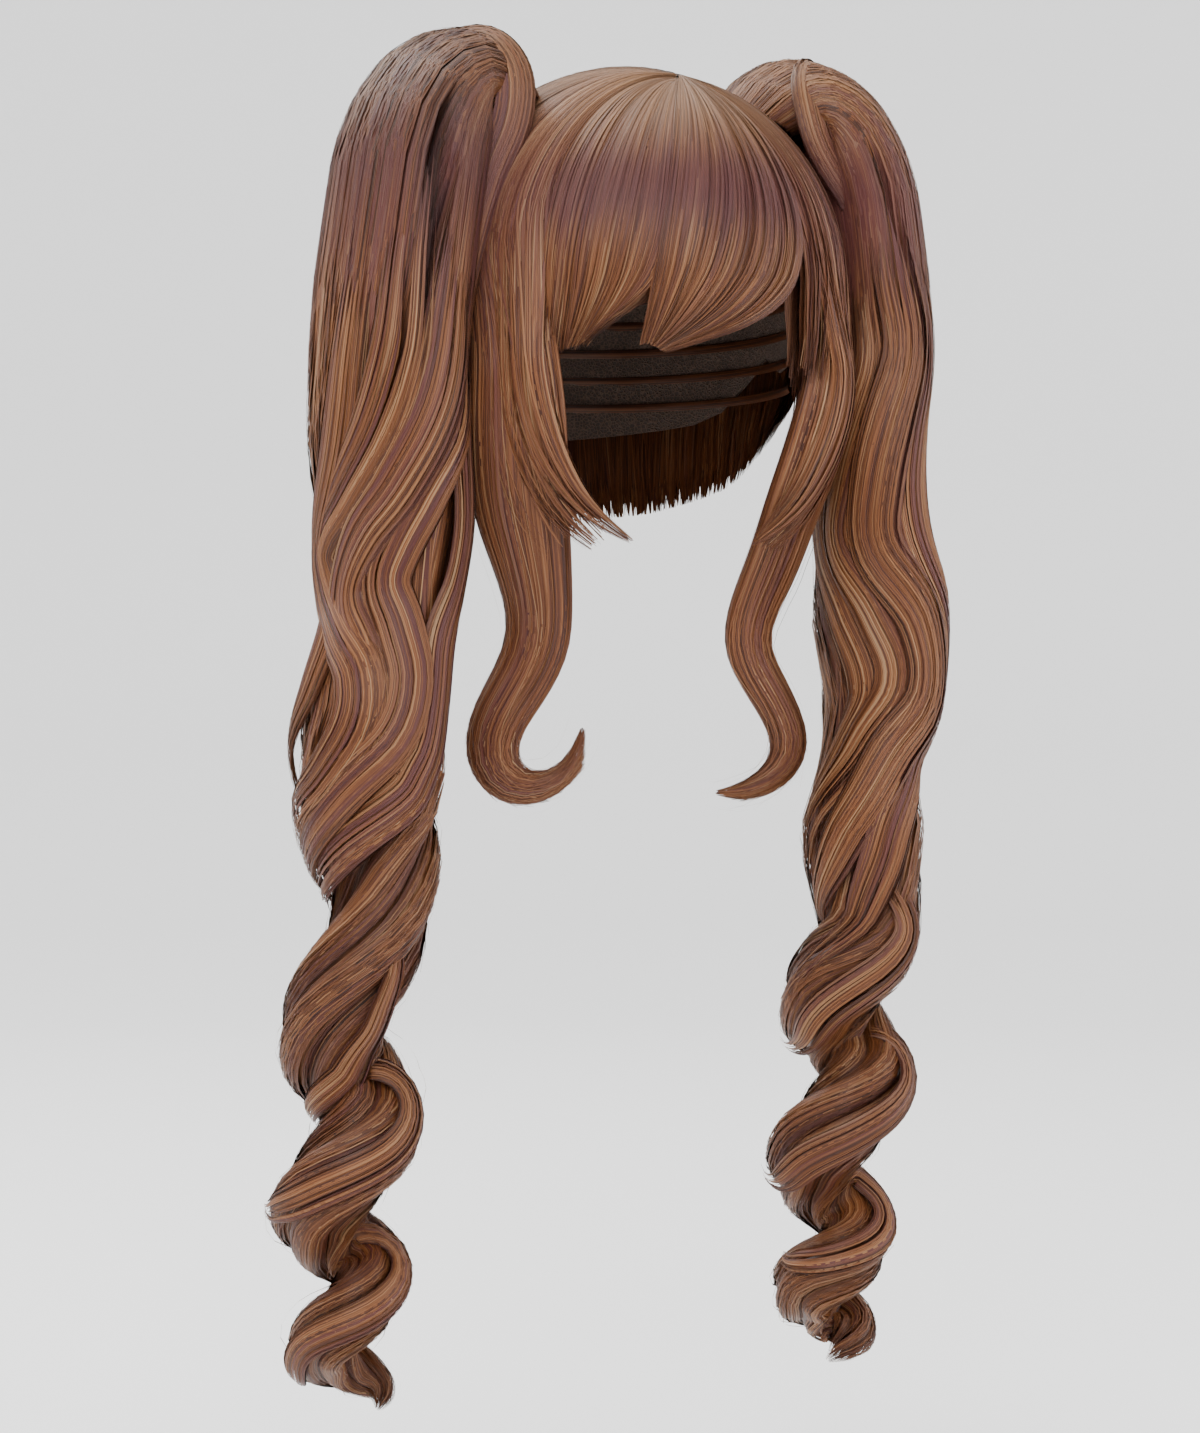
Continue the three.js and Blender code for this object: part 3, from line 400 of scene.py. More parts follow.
# Locks that hook out of each ringlet at its inner side
HOOKS_RIGHT = [
    [(0.665, 0.85, 3, -4), (0.69, 0.93, 6, -1.5), (0.715, 0.9, 8, 0.3), (0.74, 0.5, 9, 1), (0.757, -0.1, 8, 1.4),
     (0.768, -0.65, 5, 1.4), (0.775, -0.98, 2, 0.8)],
    [(0.765, 0.7, 4, -4), (0.79, 0.85, 7, 0), (0.815, 0.7, 8, 1), (0.838, 0.1, 8, 1.5), (0.85, -0.5, 6, 1.6),
     (0.857, -0.98, 2, 1.6)],
    [(0.87, 0.7, 4, -2), (0.9, 0.85, 6, 0.5), (0.925, 0.6, 7, 1), (0.945, -0.1, 6, 1.5), (0.957, -0.6, 5, 2),
     (0.962, -0.98, 1.5, 1.6)],
]
HOOKS_LEFT = [
    [(0.64, 0.5, 5, -3), (0.67, 0.7, 8, 0.5), (0.7, 0.4, 9, 1.5), (0.718, -0.2, 8, 2), (0.73, -0.7, 5, 2),
     (0.734, -1, 2, 2.5)],
    [(0.76, 0.6, 5, -3), (0.785, 0.8, 7, 0.5), (0.81, 0.5, 8, 1), (0.828, -0.1, 8, 1.5), (0.838, -0.6, 6, 1.6),
     (0.843, -1, 2, 2)],
    [(0.85, 0.6, 4, -2), (0.875, 0.8, 6, 0.5), (0.9, 0.5, 7, 1), (0.918, -0.1, 6, 1.5), (0.926, -0.6, 5, 1.6),
     (0.93, -1, 1.5, 1.8)],
]
# The deep parting of each pigtail: down, and across as the camera sees it
PARTINGS = {
    -1: [(0.1, 0.35), (0.124, 0.47), (0.18, 0.62), (0.21, 0.6), (0.24, 0.45), (0.28, 0.25), (0.4, -0.6)],
    1: [(0.1, 0.3), (0.12, 0.35), (0.2, 0.5), (0.28, 0.35), (0.4, 0.1)],
}
PARTING_WIDTH = 0.15
# How deep the parting of each pigtail is, which draws strands in and darkens them with painted shade, and how much
# painted shade darkens its root
PARTING_DEPTHS = {-1: 1, 1: 0.3}
ROOT_SHADES = {-1: 0.4, 1: 0}
# The lock of each pigtail that falls from its arch in front of the clip: out, fore, down, half width and half depth,
# in millimetres
ARCH_RIGHT = [
    (92, 8, 10, 3, 3), (86, 22, -3, 11, 4), (81, 36, -3, 15, 5), (77, 45, 9, 17, 5), (79, 48, 27, 17, 5),
    (88, 49, 50, 16, 5), (96, 50, 80, 14, 5), (101, 52, 112, 11, 4), (105, 54, 150, 8, 3), (108, 56, 190, 3, 2),
]
ARCH_LEFT = [
    (94, 10, 14, 3, 3), (87, 24, 3, 13, 4), (83, 36, 2, 18, 5), (83, 43, 12, 21, 5), (87, 46, 27, 22, 5),
    (99, 47, 50, 18, 5), (107, 48, 80, 13, 5), (110, 50, 112, 9, 4), (112, 52, 150, 7, 3), (112, 54, 190, 3, 2),
]
# How far the strands sway round the tail, in degrees, at each share of the way down
SWAY = [(0, 0), (0.25, 0), (0.32, 20), (0.386, 42), (0.44, 26), (0.5, 4), (0.56, 0), (1, 0)]


def tail_frames(side, table, samples=600):
    """The middle of a pigtail along its length, with the two axes and half sizes of its section."""
    place = np.linspace(0, 1, samples)
    down, out, fore, wide, deep, lean, curl, turns = curve_through(table, place).T
    swing = np.radians((0 if side > 0 else 180) + CURL_BEARING - 360 * turns)
    centre = np.stack([
        side * out * TAIL_REACH + np.cos(swing) * curl * CURL_RADIUS,
        -fore * TAIL_FORWARD + np.sin(swing) * curl * CURL_RADIUS,
        TAIL_TOP - down * TAIL_LENGTH,
    ], axis=-1)
    lean = np.radians(lean)
    leaning = np.stack([side * np.sin(lean), np.zeros(samples), -np.cos(lean)], axis=-1)
    running = unit(np.gradient(centre, axis=0))
    along = unit(leaning + (running - leaning) * smooth_step(0.1, 0.3, down)[:, None])
    forward = square_to(np.broadcast_to(np.array([0.0, -1.0, 0.0]), along.shape), along)
    outward = np.cross(along, forward) * -side
    turn = np.radians(REST_TURN + side * 360 * SECTION_TWIST * turns)[:, None]
    return {
        "place": place,
        "down": down,
        "turns": turns,
        "centre": centre,
        "wide": outward * np.cos(turn) + forward * np.sin(turn),
        "deep": forward * np.cos(turn) - outward * np.sin(turn),
        "half_wide": np.maximum(wide * TAIL_HALF_WIDTH, 0.0012),
        "half_deep": np.maximum(deep * TAIL_HALF_DEPTH, 0.0012),
    }


def frame_at(frames, place):
    """The frames of a tail or lock at any places."""
    taken = {}
    for name, values in frames.items():
        if values.ndim == 1:
            taken[name] = np.interp(place, frames["place"], values)
        else:
            taken[name] = np.stack([np.interp(place, frames["place"], c) for c in values.T], axis=-1)
    return taken


def even_places(frames, points, reach=0.022, per_turn=12, per_bend=9):
    """Places along a tail that lie closer together where it bends and curls."""
    length = np.linalg.norm(np.diff(frames["centre"], axis=0), axis=-1) / reach
    turning = np.abs(np.diff(frames["turns"])) * per_turn
    section = np.cross(frames["wide"], frames["deep"])
    bend = np.linalg.norm(np.diff(section, axis=0), axis=-1) * per_bend
    cost = np.concatenate([[0], np.cumsum(length + turning + bend)])
    return np.interp(np.linspace(0, cost[-1], points), cost, frames["place"])


def in_section(at, q):
    """Points of a section by their place in its unit disc."""
    return at["centre"] + at["wide"] * (q.real * at["half_wide"])[..., None] \
        + at["deep"] * (q.imag * at["half_deep"])[..., None]


def off_section(at, q):
    """The way out of a section at a place in its unit disc."""
    return unit(at["wide"] * (q.real / at["half_wide"])[..., None] + at["deep"] * (q.imag / at["half_deep"])[..., None])


def lock_bearing(lock):
    """The place of a lock round the section of a pigtail."""
    return np.radians(FIRST_LOCK + 360 / TAIL_LOCKS * lock)


def tail_spin(side, at):
    """How far the strands have wound round the pigtail."""
    sway = np.interp(at["down"], *np.array(SWAY, float).T)
    return side * np.radians(360 * STRAND_TWIST * at["turns"] + sway)


def parted(side, at, q):
    """How deep in the parting of a pigtail each point lies, from 0 to 1."""
    across = straight_between(PARTINGS[side], at["down"])[..., 0]
    away = np.angle(q * np.exp(-1j * seen_angle(side, across)))
    fade = smooth_step(0.05, 0.09, at["down"]) * (1 - smooth_step(0.26, 0.34, at["down"]))
    return PARTING_DEPTHS[side] * fade * np.exp(-(away / PARTING_WIDTH) ** 2)


def tail_strands(side, frames, count, points, rng, width, skin, stray=0.0):
    """Strands of a pigtail. They lie smooth at its top and draw into round locks further down."""
    grid = even_places(frames, points)
    step = np.linspace(0, 1, points)
    first = rng.uniform(0, 0.01, count)
    end = np.where(rng.uniform(0, 1, count) < 0.75, rng.uniform(0.95, 1.0, count), rng.uniform(0.72, 0.95, count))
    start_step, end_step = np.interp(first, grid, step), np.interp(end, grid, step)
    base = start_step[:, None] + (end_step - start_step)[:, None] * step
    at = frame_at(frames, np.interp(base, step, grid))
    lock = rng.integers(0, TAIL_LOCKS, count)
    lock_angle = lock_bearing(lock)
    round_lock = rng.uniform(0, 2 * math.pi, count)
    depth = rng.uniform(*skin, count)
    locked = LOCK_MIDDLE * np.exp(1j * lock_angle) + LOCK_FILL * depth * np.exp(1j * round_lock)
    turned = np.angle(locked) % (2 * math.pi)
    smooth = np.exp(1j * turned) * (0.84 + 0.16 * np.clip(np.abs(locked), 0, 1.05) ** 0.5)
    gather = smooth_step(0.22, 0.55, at["down"])
    q = smooth[:, None] + (locked - smooth)[:, None] * gather
    spin = tail_spin(side, at)
    middle = LOCK_MIDDLE * np.exp(1j * (lock_angle[:, None] + spin)) * gather
    q = q * np.exp(1j * spin)
    parting = parted(side, at, q)
    q = q * (1 - 0.4 * parting)
    if stray:
        drift = np.cumsum(rng.normal(0, 1, q.shape), axis=1) / math.sqrt(points)
        q = q * (1 + stray * np.abs(drift) * step)
    half = half_widths(rng, width, count) * end_taper(step, 0.04, 0.14)
    room = np.minimum(1, np.minimum(at["half_wide"], at["half_deep"]) / 0.012)
    near_lock = np.abs(q - middle) / LOCK_FILL
    # Painted shade: strands deep inside the pigtail and between its locks are darker, and so are those in its parting
    # and, on the right pigtail, those at its root. The strands also grow darker towards the bottom.
    shade = np.clip(1.05 - np.abs(q), 0, 0.6) + 0.35 * gather * np.clip(0.9 - np.abs(q), 0, 1) * near_lock
    shade = shade + 0.22 * smooth_step(0.3, 0.7, at["down"]) \
        + ROOT_SHADES[side] * (1 - smooth_step(0.04, 0.25, at["down"]))
    shade = np.clip(shade + 0.9 * parting, 0, 0.95)
    bands = banded(turned / (2 * math.pi), 46, rng)
    return strands(in_section(at, q), off_section(at, q - 0.75 * middle), half * room, shade, bands)


def seen_angle(side, across):
    """The section angle of the place that the camera sees so far across a pigtail, from -1 to 1."""
    if side < 0:
        return np.radians(38.5) + np.arcsin(np.clip(across, -1, 1))
    return np.radians(9.6) + np.arccos(np.clip(across, -1, 1))


def lock_along(place, down, centre, facing, half_wide, half_deep):
    """The frames of a single lock along its middle, with its outer side turned to the way that it faces."""
    along = unit(np.gradient(centre, axis=0))
    deep = square_to(facing, along)
    return {
        "place": place,
        "down": down,
        "turns": np.zeros(len(place)),
        "centre": centre,
        "wide": np.cross(along, deep),
        "deep": deep,
        "half_wide": half_wide,
        "half_deep": half_deep,
    }


def over_lock_frames(side, frames, rows, samples=240):
    """The frames of a lock that lies on a pigtail."""
    place = np.linspace(0, 1, samples)
    down, across, half, lift = curve_through(rows, place).T
    hanging_part = frames["place"] > PAST_ARCH
    at = frame_at(frames, np.interp(down, frames["down"][hanging_part], frames["place"][hanging_part]))
    turned = side * 2 * math.pi * SECTION_TWIST * at["turns"] * smooth_step(*RINGLETS_BEGIN, down)
    q = np.exp(1j * (seen_angle(side, across) - turned))
    outward = off_section(at, q)
    centre = in_section(at, q) + outward * (lift * MM)[:, None]
    return lock_along(place, down, centre, outward, np.maximum(half * MM, 0.0006), np.maximum(half * 0.0003, 0.0004))


def lock_strands(frames, count, points, rng, width, skin=(0.7, 1.0), first=0.03, last=(0.9, 1.0)):
    """Strands of one flat lock, most of them on its outer side."""
    step = np.linspace(0, 1, points)
    start, end = rng.uniform(0, first, count)[:, None], rng.uniform(*last, count)[:, None]
    at = frame_at(frames, start + (end - start) * step)
    turn = np.radians(90 + 125 * rng.uniform(-1, 1, count))
    q = (rng.uniform(*skin, count) * np.exp(1j * turn))[:, None] + np.zeros(points)
    half = half_widths(rng, width, count) * end_taper(step, 0.12, 0.25) * (0.1 + 0.9 * smooth_step(0, 0.08, step))
    # Painted shade: strands on the inner side of the lock are darker.
    shade = np.clip(0.55 - 0.5 * q.imag, 0, 0.6)
    return strands(in_section(at, q), off_section(at, q), half, shade, banded(0.5 + 0.5 * q[:, 0].real, 7, rng))


def ring_points(at, q):
    """Rings of points in the sections of a pigtail or lock."""
    return at["centre"][:, None] + at["wide"][:, None] * (q.real * at["half_wide"][:, None])[..., None] \
        + at["deep"][:, None] * (q.imag * at["half_deep"][:, None])[..., None]


def tail_cores(side, frames, rings=90, sides=10):
    """A filling of round tubes inside the locks of a pigtail, so that no daylight shows between strands; painted shade
    makes them dark.
    """
    place = even_places(frames, rings)
    at = frame_at(frames, place)
    spin = tail_spin(side, at)
    tubes = []
    corner = np.exp(2j * math.pi * np.arange(sides) / sides)
    spare = smooth_step(0, 0.03, place) * (1 - smooth_step(0.93, 1, place))
    size = LOCK_FILL * TAIL_CORE_FILL * (0.1 + 0.9 * spare)
    for lock in range(TAIL_LOCKS):
        middle = CORE_MIDDLE * np.exp(1j * (lock_bearing(lock) + spin))
        tubes.append(ring_points(at, middle[:, None] + size[:, None] * corner[None, :]))
    return tubes


# How far down the curtain the strands of a side lock leave it
TEMPLE_SHARE = 0.62
# The curled side locks: down, out, fore, wide and thick
LOCK_RIGHT = [
    (0.27, 0.97, 0.72, 0.25, 0.15), (0.35, 0.99, 0.81, 0.62, 0.55), (0.43, 1, 0.86, 0.85, 0.95),
    (0.5, 0.98, 0.83, 0.95, 1), (0.6, 0.91, 0.7, 0.93, 1), (0.68, 0.79, 0.58, 0.76, 1),
    (0.75, 0.69, 0.46, 0.62, 0.95), (0.8, 0.68, 0.41, 0.59, 0.9), (0.86, 0.81, 0.38, 0.57, 0.85),
    (0.91, 0.94, 0.36, 0.52, 0.8), (0.96, 0.96, 0.36, 0.46, 0.7), (0.995, 0.83, 0.38, 0.36, 0.6),
    (0.995, 0.65, 0.43, 0.27, 0.5), (0.965, 0.49, 0.49, 0.2, 0.4), (0.91, 0.46, 0.54, 0.05, 0.2),
]
LOCK_LEFT = [
    (0.27, 0.96, 0.72, 0.25, 0.15), (0.35, 0.96, 0.81, 0.62, 0.55), (0.43, 0.95, 0.86, 0.8, 0.9),
    (0.5, 0.88, 0.86, 0.9, 1), (0.6, 0.77, 0.74, 0.85, 1), (0.68, 0.69, 0.64, 0.76, 1),
    (0.76, 0.57, 0.56, 0.6, 0.95), (0.8, 0.55, 0.55, 0.5, 0.9), (0.85, 0.68, 0.56, 0.55, 0.85),
    (0.9, 0.77, 0.62, 0.52, 0.8), (0.94, 0.83, 0.62, 0.45, 0.7), (0.98, 0.71, 0.62, 0.32, 0.55),
    (1, 0.53, 0.6, 0.2, 0.4), (1, 0.34, 0.62, 0.05, 0.2),
]
CHEEK_WISP = [
    (0.34, 0.98, 0.95, 0.3, 0.4), (0.44, 0.97, 0.98, 0.36, 0.5), (0.53, 0.87, 0.98, 0.36, 0.5),
    (0.61, 0.66, 1, 0.22, 0.4), (0.66, 0.37, 1.04, 0.05, 0.15),
]


def cheek_sheet(table, share):
    """The rows of the hair between a side lock and the wisp over the cheek, so far towards the wisp."""
    rows = []
    for down, *wisp in CHEEK_WISP:
        lock = straight_between(table[:6], down)
        rows.append((down, *(lock + (np.array(wisp) - lock) * share)))
    return rows


def lock_frames(side, table, samples=300):
    """The frames of a side lock, or of a wisp beside it, along its table."""
    place = np.linspace(0, 1, samples)
    down, out, fore, wide, thick = curve_through(table, place).T
    centre = np.stack([side * out * LOCK_REACH, -fore * LOCK_FORWARD, -down * LOCK_DROP], axis=-1)
    return lock_along(place, down, centre, unit(np.array([side * 0.55, -0.83, 0.0])),
                      np.maximum(wide * LOCK_HALF_WIDTH, 0.0008), np.maximum(thick * LOCK_HALF_THICKNESS, 0.0008))


def resampled(paths, values, points):
    """Each path, and the values that it carries, at evenly spaced places along it."""
    steps = np.linalg.norm(np.diff(paths, axis=1), axis=-1)
    run = np.concatenate([np.zeros((len(paths), 1)), np.cumsum(steps, axis=1)], axis=1)
    out = np.empty((len(paths), points, 3))
    carried = np.empty((len(paths), points, values.shape[-1]))
    for index, length in enumerate(run):
        even = np.linspace(0, length[-1], points)
        for axis in range(3):
            out[index, :, axis] = np.interp(even, length, paths[index, :, axis])
        for axis in range(values.shape[-1]):
            carried[index, :, axis] = np.interp(even, length, values[index, :, axis])
    return out, carried


def rounded(paths, passes):
    """Paths with their corners eased, and their ends kept."""
    for _ in range(passes):
        paths = paths.copy()
        paths[:, 1:-1] = 0.25 * paths[:, :-2] + 0.5 * paths[:, 1:-1] + 0.25 * paths[:, 2:]
    return paths


def side_lock_strands(side, curtain, frames, count, points, rng, width, skin=(0.75, 1.0), first=0.13, stray=0.0,
                      middle=0.32, spread=0.27):
    """Strands that fall from the whorl over the temple and run on into the curled lock."""
    turn = rng.uniform(0, 2 * math.pi, count)
    q = rng.uniform(*skin, count) * np.exp(1j * turn)
    across = middle - side * spread * q.real + rng.uniform(-0.05, 0.05, count)
    upper_share = np.linspace(0.0, 1, 24)[None, :] * (TEMPLE_SHARE * rng.uniform(0.75, 1.02, count))[:, None]
    layer = 1.12 + 0.09 * q.imag
    upper, out_upper = curtain_points(curtain, np.clip(across, 0.02, 0.98)[:, None] + 0 * upper_share, upper_share,
                                      np.repeat(layer[:, None], 24, axis=1))
    end = np.where(rng.uniform(0, 1, count) < 0.7, rng.uniform(0.93, 1, count), rng.uniform(0.6, 0.95, count))
    place = first + (end - first)[:, None] * np.linspace(0, 1, 60)
    at = frame_at(frames, place)
    bunch = np.exp(1j * rng.uniform(-0.35, 0.35, count))[:, None]
    spun = q[:, None] * bunch ** np.linspace(0, 1, 60)[None, :]
    paths = np.concatenate([upper, in_section(at, spun)], axis=1)
    facings = np.concatenate([out_upper, off_section(at, spun)], axis=1)
    paths, facings = resampled(paths, facings, 120)
    paths, facings = resampled(rounded(paths, 14), rounded(facings, 14), points)
    step = np.linspace(0, 1, points)
    if stray:
        drift = np.cumsum(rng.normal(0, 1, paths.shape), axis=1) / math.sqrt(points)
        paths = paths + stray * drift * step[None, :, None] ** 1.5
    half = half_widths(rng, width, count) * end_taper(step, 0.1, 0.25)
    # Painted shade: strands on the side of the lock turned away from the front are darker.
    shade = 0.25 * np.clip(-q.imag, 0, 1)
    return strands(paths, facings, half * (0.3 + 0.7 * smooth_step(0, 0.2, step)), shade, banded(across, 16, rng))


def lock_core(frames, rings=60, sides=10, first=0.1):
    """The filling of a side lock, dark with painted shade."""
    place = np.linspace(first, 1, rings)
    at = frame_at(frames, place)
    size = SIDE_CORE_FILL * (0.05 + 0.95 * smooth_step(first, first + 0.12, place)) \
        * (1 - 0.8 * smooth_step(0.85, 1, place))
    return ring_points(at, size[:, None] * np.exp(2j * math.pi * np.arange(sides) / sides)[None, :])


# Node trees

class Board:
    """A node tree that is wired up by naming each node and what feeds its sockets."""

    def __init__(self, tree):
        self.tree = tree

    def add(self, kind, feeds=None, **settings):
        node = self.tree.nodes.new(kind)
        for name, value in settings.items():
            setattr(node, name, value)
        for socket, source in (feeds or {}).items():
            target = node.inputs[socket]
            if isinstance(source, bpy.types.NodeSocket):
                self.tree.links.new(source, target)
            elif isinstance(source, bpy.types.Node):
                self.tree.links.new(source.outputs[0], target)
            else:
                target.default_value = source
        return node

    def maths(self, operation, *values):
        return self.add("ShaderNodeMath", dict(enumerate(values)), operation=operation).outputs[0]


def hair_tree():
    """Turns guide lines into arched ribbons of hair, each with its own strip of the atlas."""
    tree = bpy.data.node_groups.new("ribbons_of_hair", "GeometryNodeTree")
    face = tree.interface
    face.new_socket("Guides", in_out="INPUT", socket_type="NodeSocketGeometry")
    face.new_socket("Points Across", in_out="INPUT", socket_type="NodeSocketInt")
    face.new_socket("Arch", in_out="INPUT", socket_type="NodeSocketFloat")
    face.new_socket("Strip Half Width", in_out="INPUT", socket_type="NodeSocketFloat")
    face.new_socket("Finish", in_out="INPUT", socket_type="NodeSocketMaterial")
    face.new_socket("Ribbons", in_out="OUTPUT", socket_type="NodeSocketGeometry")
    board = Board(tree)
    given = board.add("NodeGroupInput")

    def named(name, kind="FLOAT"):
        return board.add("GeometryNodeInputNamedAttribute", {"Name": name}, data_type=kind).outputs["Attribute"]

    def keep(geometry, name, value, kind="FLOAT", domain="POINT"):
        return board.add("GeometryNodeStoreNamedAttribute", {"Geometry": geometry, "Name": name, "Value": value},
                         data_type=kind, domain=domain)

    line = board.add("GeometryNodeMeshLine", {"Count": given.outputs["Points Across"]})
    last = board.maths("SUBTRACT", given.outputs["Points Across"], 1)
    share = board.maths("DIVIDE", board.add("GeometryNodeInputIndex"), last)
    across = board.maths("SUBTRACT", board.maths("MULTIPLY", share, 2), 1)
    marked = keep(line, "across", across)
    fall = board.maths("MULTIPLY", board.maths("MULTIPLY", across, across), given.outputs["Arch"])
    height = board.maths("MULTIPLY", fall, -1)
    flat = board.add("ShaderNodeCombineXYZ", {"X": height, "Y": named("across")})
    shaped = board.add("GeometryNodeSetPosition", {"Geometry": marked, "Position": flat})
    profile = board.add("GeometryNodeMeshToCurve", {"Mesh": shaped})

    curves = board.add("GeometryNodeMeshToCurve", {"Mesh": given.outputs["Guides"]})
    faced = board.add("GeometryNodeSetCurveNormal", {"Curve": curves, "Normal": named("facing", "FLOAT_VECTOR")},
                      mode="FREE")
    ribbons = board.add("GeometryNodeCurveToMesh", {
        "Curve": faced, "Profile Curve": profile, "Scale": named("half_width"), "Fill Caps": False})
    sideways = keep(ribbons, "sideways", board.maths("MULTIPLY", named("across"), named("half_width")))
    from_middle = board.maths("MULTIPLY", named("across"), given.outputs["Strip Half Width"])
    u = board.maths("ADD", named("atlas_u"), from_middle)
    place = board.add("ShaderNodeCombineXYZ", {"X": u, "Y": named("atlas_v")})
    mapped = keep(sideways, "OFBake", place, "FLOAT2", "CORNER")
    smooth = board.add("GeometryNodeSetShadeSmooth", {"Geometry": mapped, "Shade Smooth": True})
    real = board.add("GeometryNodeRealizeInstances", {"Geometry": smooth})
    done = board.add("GeometryNodeSetMaterial", {"Geometry": real, "Material": given.outputs["Finish"]})
    board.add("NodeGroupOutput", {"Ribbons": done})
    return tree


def run_tree(tree, obj, **inputs):
    """Runs a node tree on an object, keeps the result as a plain mesh and takes the modifier off."""
    modifier = obj.modifiers.new("making", "NODES")
    modifier.node_group = tree
    for item in tree.interface.items_tree:
        name = item.name.replace(" ", "_").lower()
        if item.in_out == "INPUT" and name in inputs:
            modifier[item.identifier] = inputs[name]
    evaluated = obj.evaluated_get(bpy.context.evaluated_depsgraph_get())
    mesh = bpy.data.meshes.new_from_object(evaluated)
    obj.modifiers.remove(modifier)
    obj.data = mesh
    return obj


def new_object(name, mesh):
    obj = bpy.data.objects.new(name, mesh)
    bpy.context.scene.collection.objects.link(obj)
    return obj


# How many rows of strips the atlas has. Each ribbon has a strip of its own.
ATLAS_ROWS = 4


def guide_object(name, groups, first_strip, strips, tint):
    """A mesh of guide lines, one for each strand, with what each strand carries as point attributes."""
    spots = np.concatenate([g["spots"].reshape(-1, 3) for g in groups])
    values = {value: np.concatenate([group[value].reshape(-1) for group in groups])
              for value in ("half_width", "shade", "along", "tone")}
    facing = np.concatenate([g["facing"].reshape(-1, 3) for g in groups])
    plum = np.concatenate([g["plum"].reshape(-1) for g in groups])
    # The mauve bands, and the painted highlight towards the top of the head
    values["mauve"], values["painted_highlight"] = tint(spots, values["tone"], plum)
    columns = math.ceil(strips / ATLAS_ROWS)
    edges, u, v, start, strip = [], [], [], 0, first_strip
    for group in groups:
        count, points = group["spots"].shape[:2]
        index = start + np.arange(count * points).reshape(count, points)
        edges.append(np.stack([index[:, :-1], index[:, 1:]], axis=-1).reshape(-1, 2))
        place = strip + np.arange(count)
        u.append(np.repeat((place % columns + 0.5) / columns, points))
        row = (place // columns)[:, None]
        v.append(((row + 0.02 + 0.96 * np.linspace(0, 1, points)[None, :]) / ATLAS_ROWS).reshape(-1))
        start += count * points
        strip += count
    values["atlas_u"], values["atlas_v"] = np.concatenate(u), np.concatenate(v)
    edges = np.concatenate(edges)
    mesh = bpy.data.meshes.new(name)
    mesh.vertices.add(len(spots))
    mesh.vertices.foreach_set("co", spots.astype(np.float32).ravel())
    mesh.edges.add(len(edges))
    mesh.edges.foreach_set("vertices", edges.astype(np.int32).ravel())
    mesh.attributes.new("facing", "FLOAT_VECTOR", "POINT").data.foreach_set("vector", facing.astype(np.float32).ravel())
    for value, data in values.items():
        mesh.attributes.new(value, "FLOAT", "POINT").data.foreach_set("value", data.astype(np.float32))
    mesh.update()
    return new_object(name, mesh)


def core_object(name, tubes, first_strip, strips, tint, material):
    """Closed tubes under the ribbons, darkened with painted shade."""
    columns = math.ceil(strips / ATLAS_ROWS)
    verts, faces, uvs, along = [], [], [], []
    for number, tube in enumerate(tubes):
        rings, sides = tube.shape[:2]
        base = len(verts)
        verts.extend(tube.reshape(-1, 3).tolist())
        along.extend(np.repeat(np.linspace(0, 0.6, rings), sides).tolist())
        strip = first_strip + number
        left, row = (strip % columns) / columns, strip // columns

        def corner(ring, side):
            return (left + (0.04 + 0.92 * side / sides) / columns, (row + 0.02 + 0.96 * ring / rings) / ATLAS_ROWS)

        for ring in range(rings - 1):
            for side in range(sides):
                after = (side + 1) % sides
                faces.append((base + ring * sides + side, base + ring * sides + after,
                              base + (ring + 1) * sides + after, base + (ring + 1) * sides + side))
                uvs.extend([corner(ring, side), corner(ring, side + 1), corner(ring + 1, side + 1),
                            corner(ring + 1, side)])
        for ring, order in ((0, range(sides - 1, -1, -1)), (rings - 1, range(sides))):
            faces.append(tuple(base + ring * sides + side for side in order))
            uvs.extend([corner(ring, side) for side in order])
    mesh = bpy.data.meshes.new(name)
    mesh.from_pydata(verts, [], faces)
    layer = mesh.uv_layers.new(name="OFBake")
    layer.data.foreach_set("uv", np.array(uvs, np.float32).ravel())
    spots = np.array(verts)
    # Painted shade darkens the tubes as the shade inside the locks; the tint adds the mauve band and the painted
    # highlight near the top.
    values = {"along": np.array(along), "shade": np.full(len(verts), 0.75), "tone": np.full(len(verts), 0.4),
              "sideways": np.zeros(len(verts)), "half_width": np.full(len(verts), 0.003)}
    values["mauve"], values["painted_highlight"] = tint(spots, values["tone"], np.zeros(len(verts)))
    for value, data in values.items():
        mesh.attributes.new(value, "FLOAT", "POINT").data.foreach_set("value", data.astype(np.float32))
    mesh.polygons.foreach_set("use_smooth", [True] * len(mesh.polygons))
    mesh.materials.append(material)
    mesh.update()
    obj = new_object(name, mesh)
    fix_normals(obj)
    return obj


def fix_normals(obj):
    shell = bmesh.new()
    shell.from_mesh(obj.data)
    bmesh.ops.recalc_face_normals(shell, faces=shell.faces)
    shell.to_mesh(obj.data)
    shell.free()


RIBBONS = hair_tree()


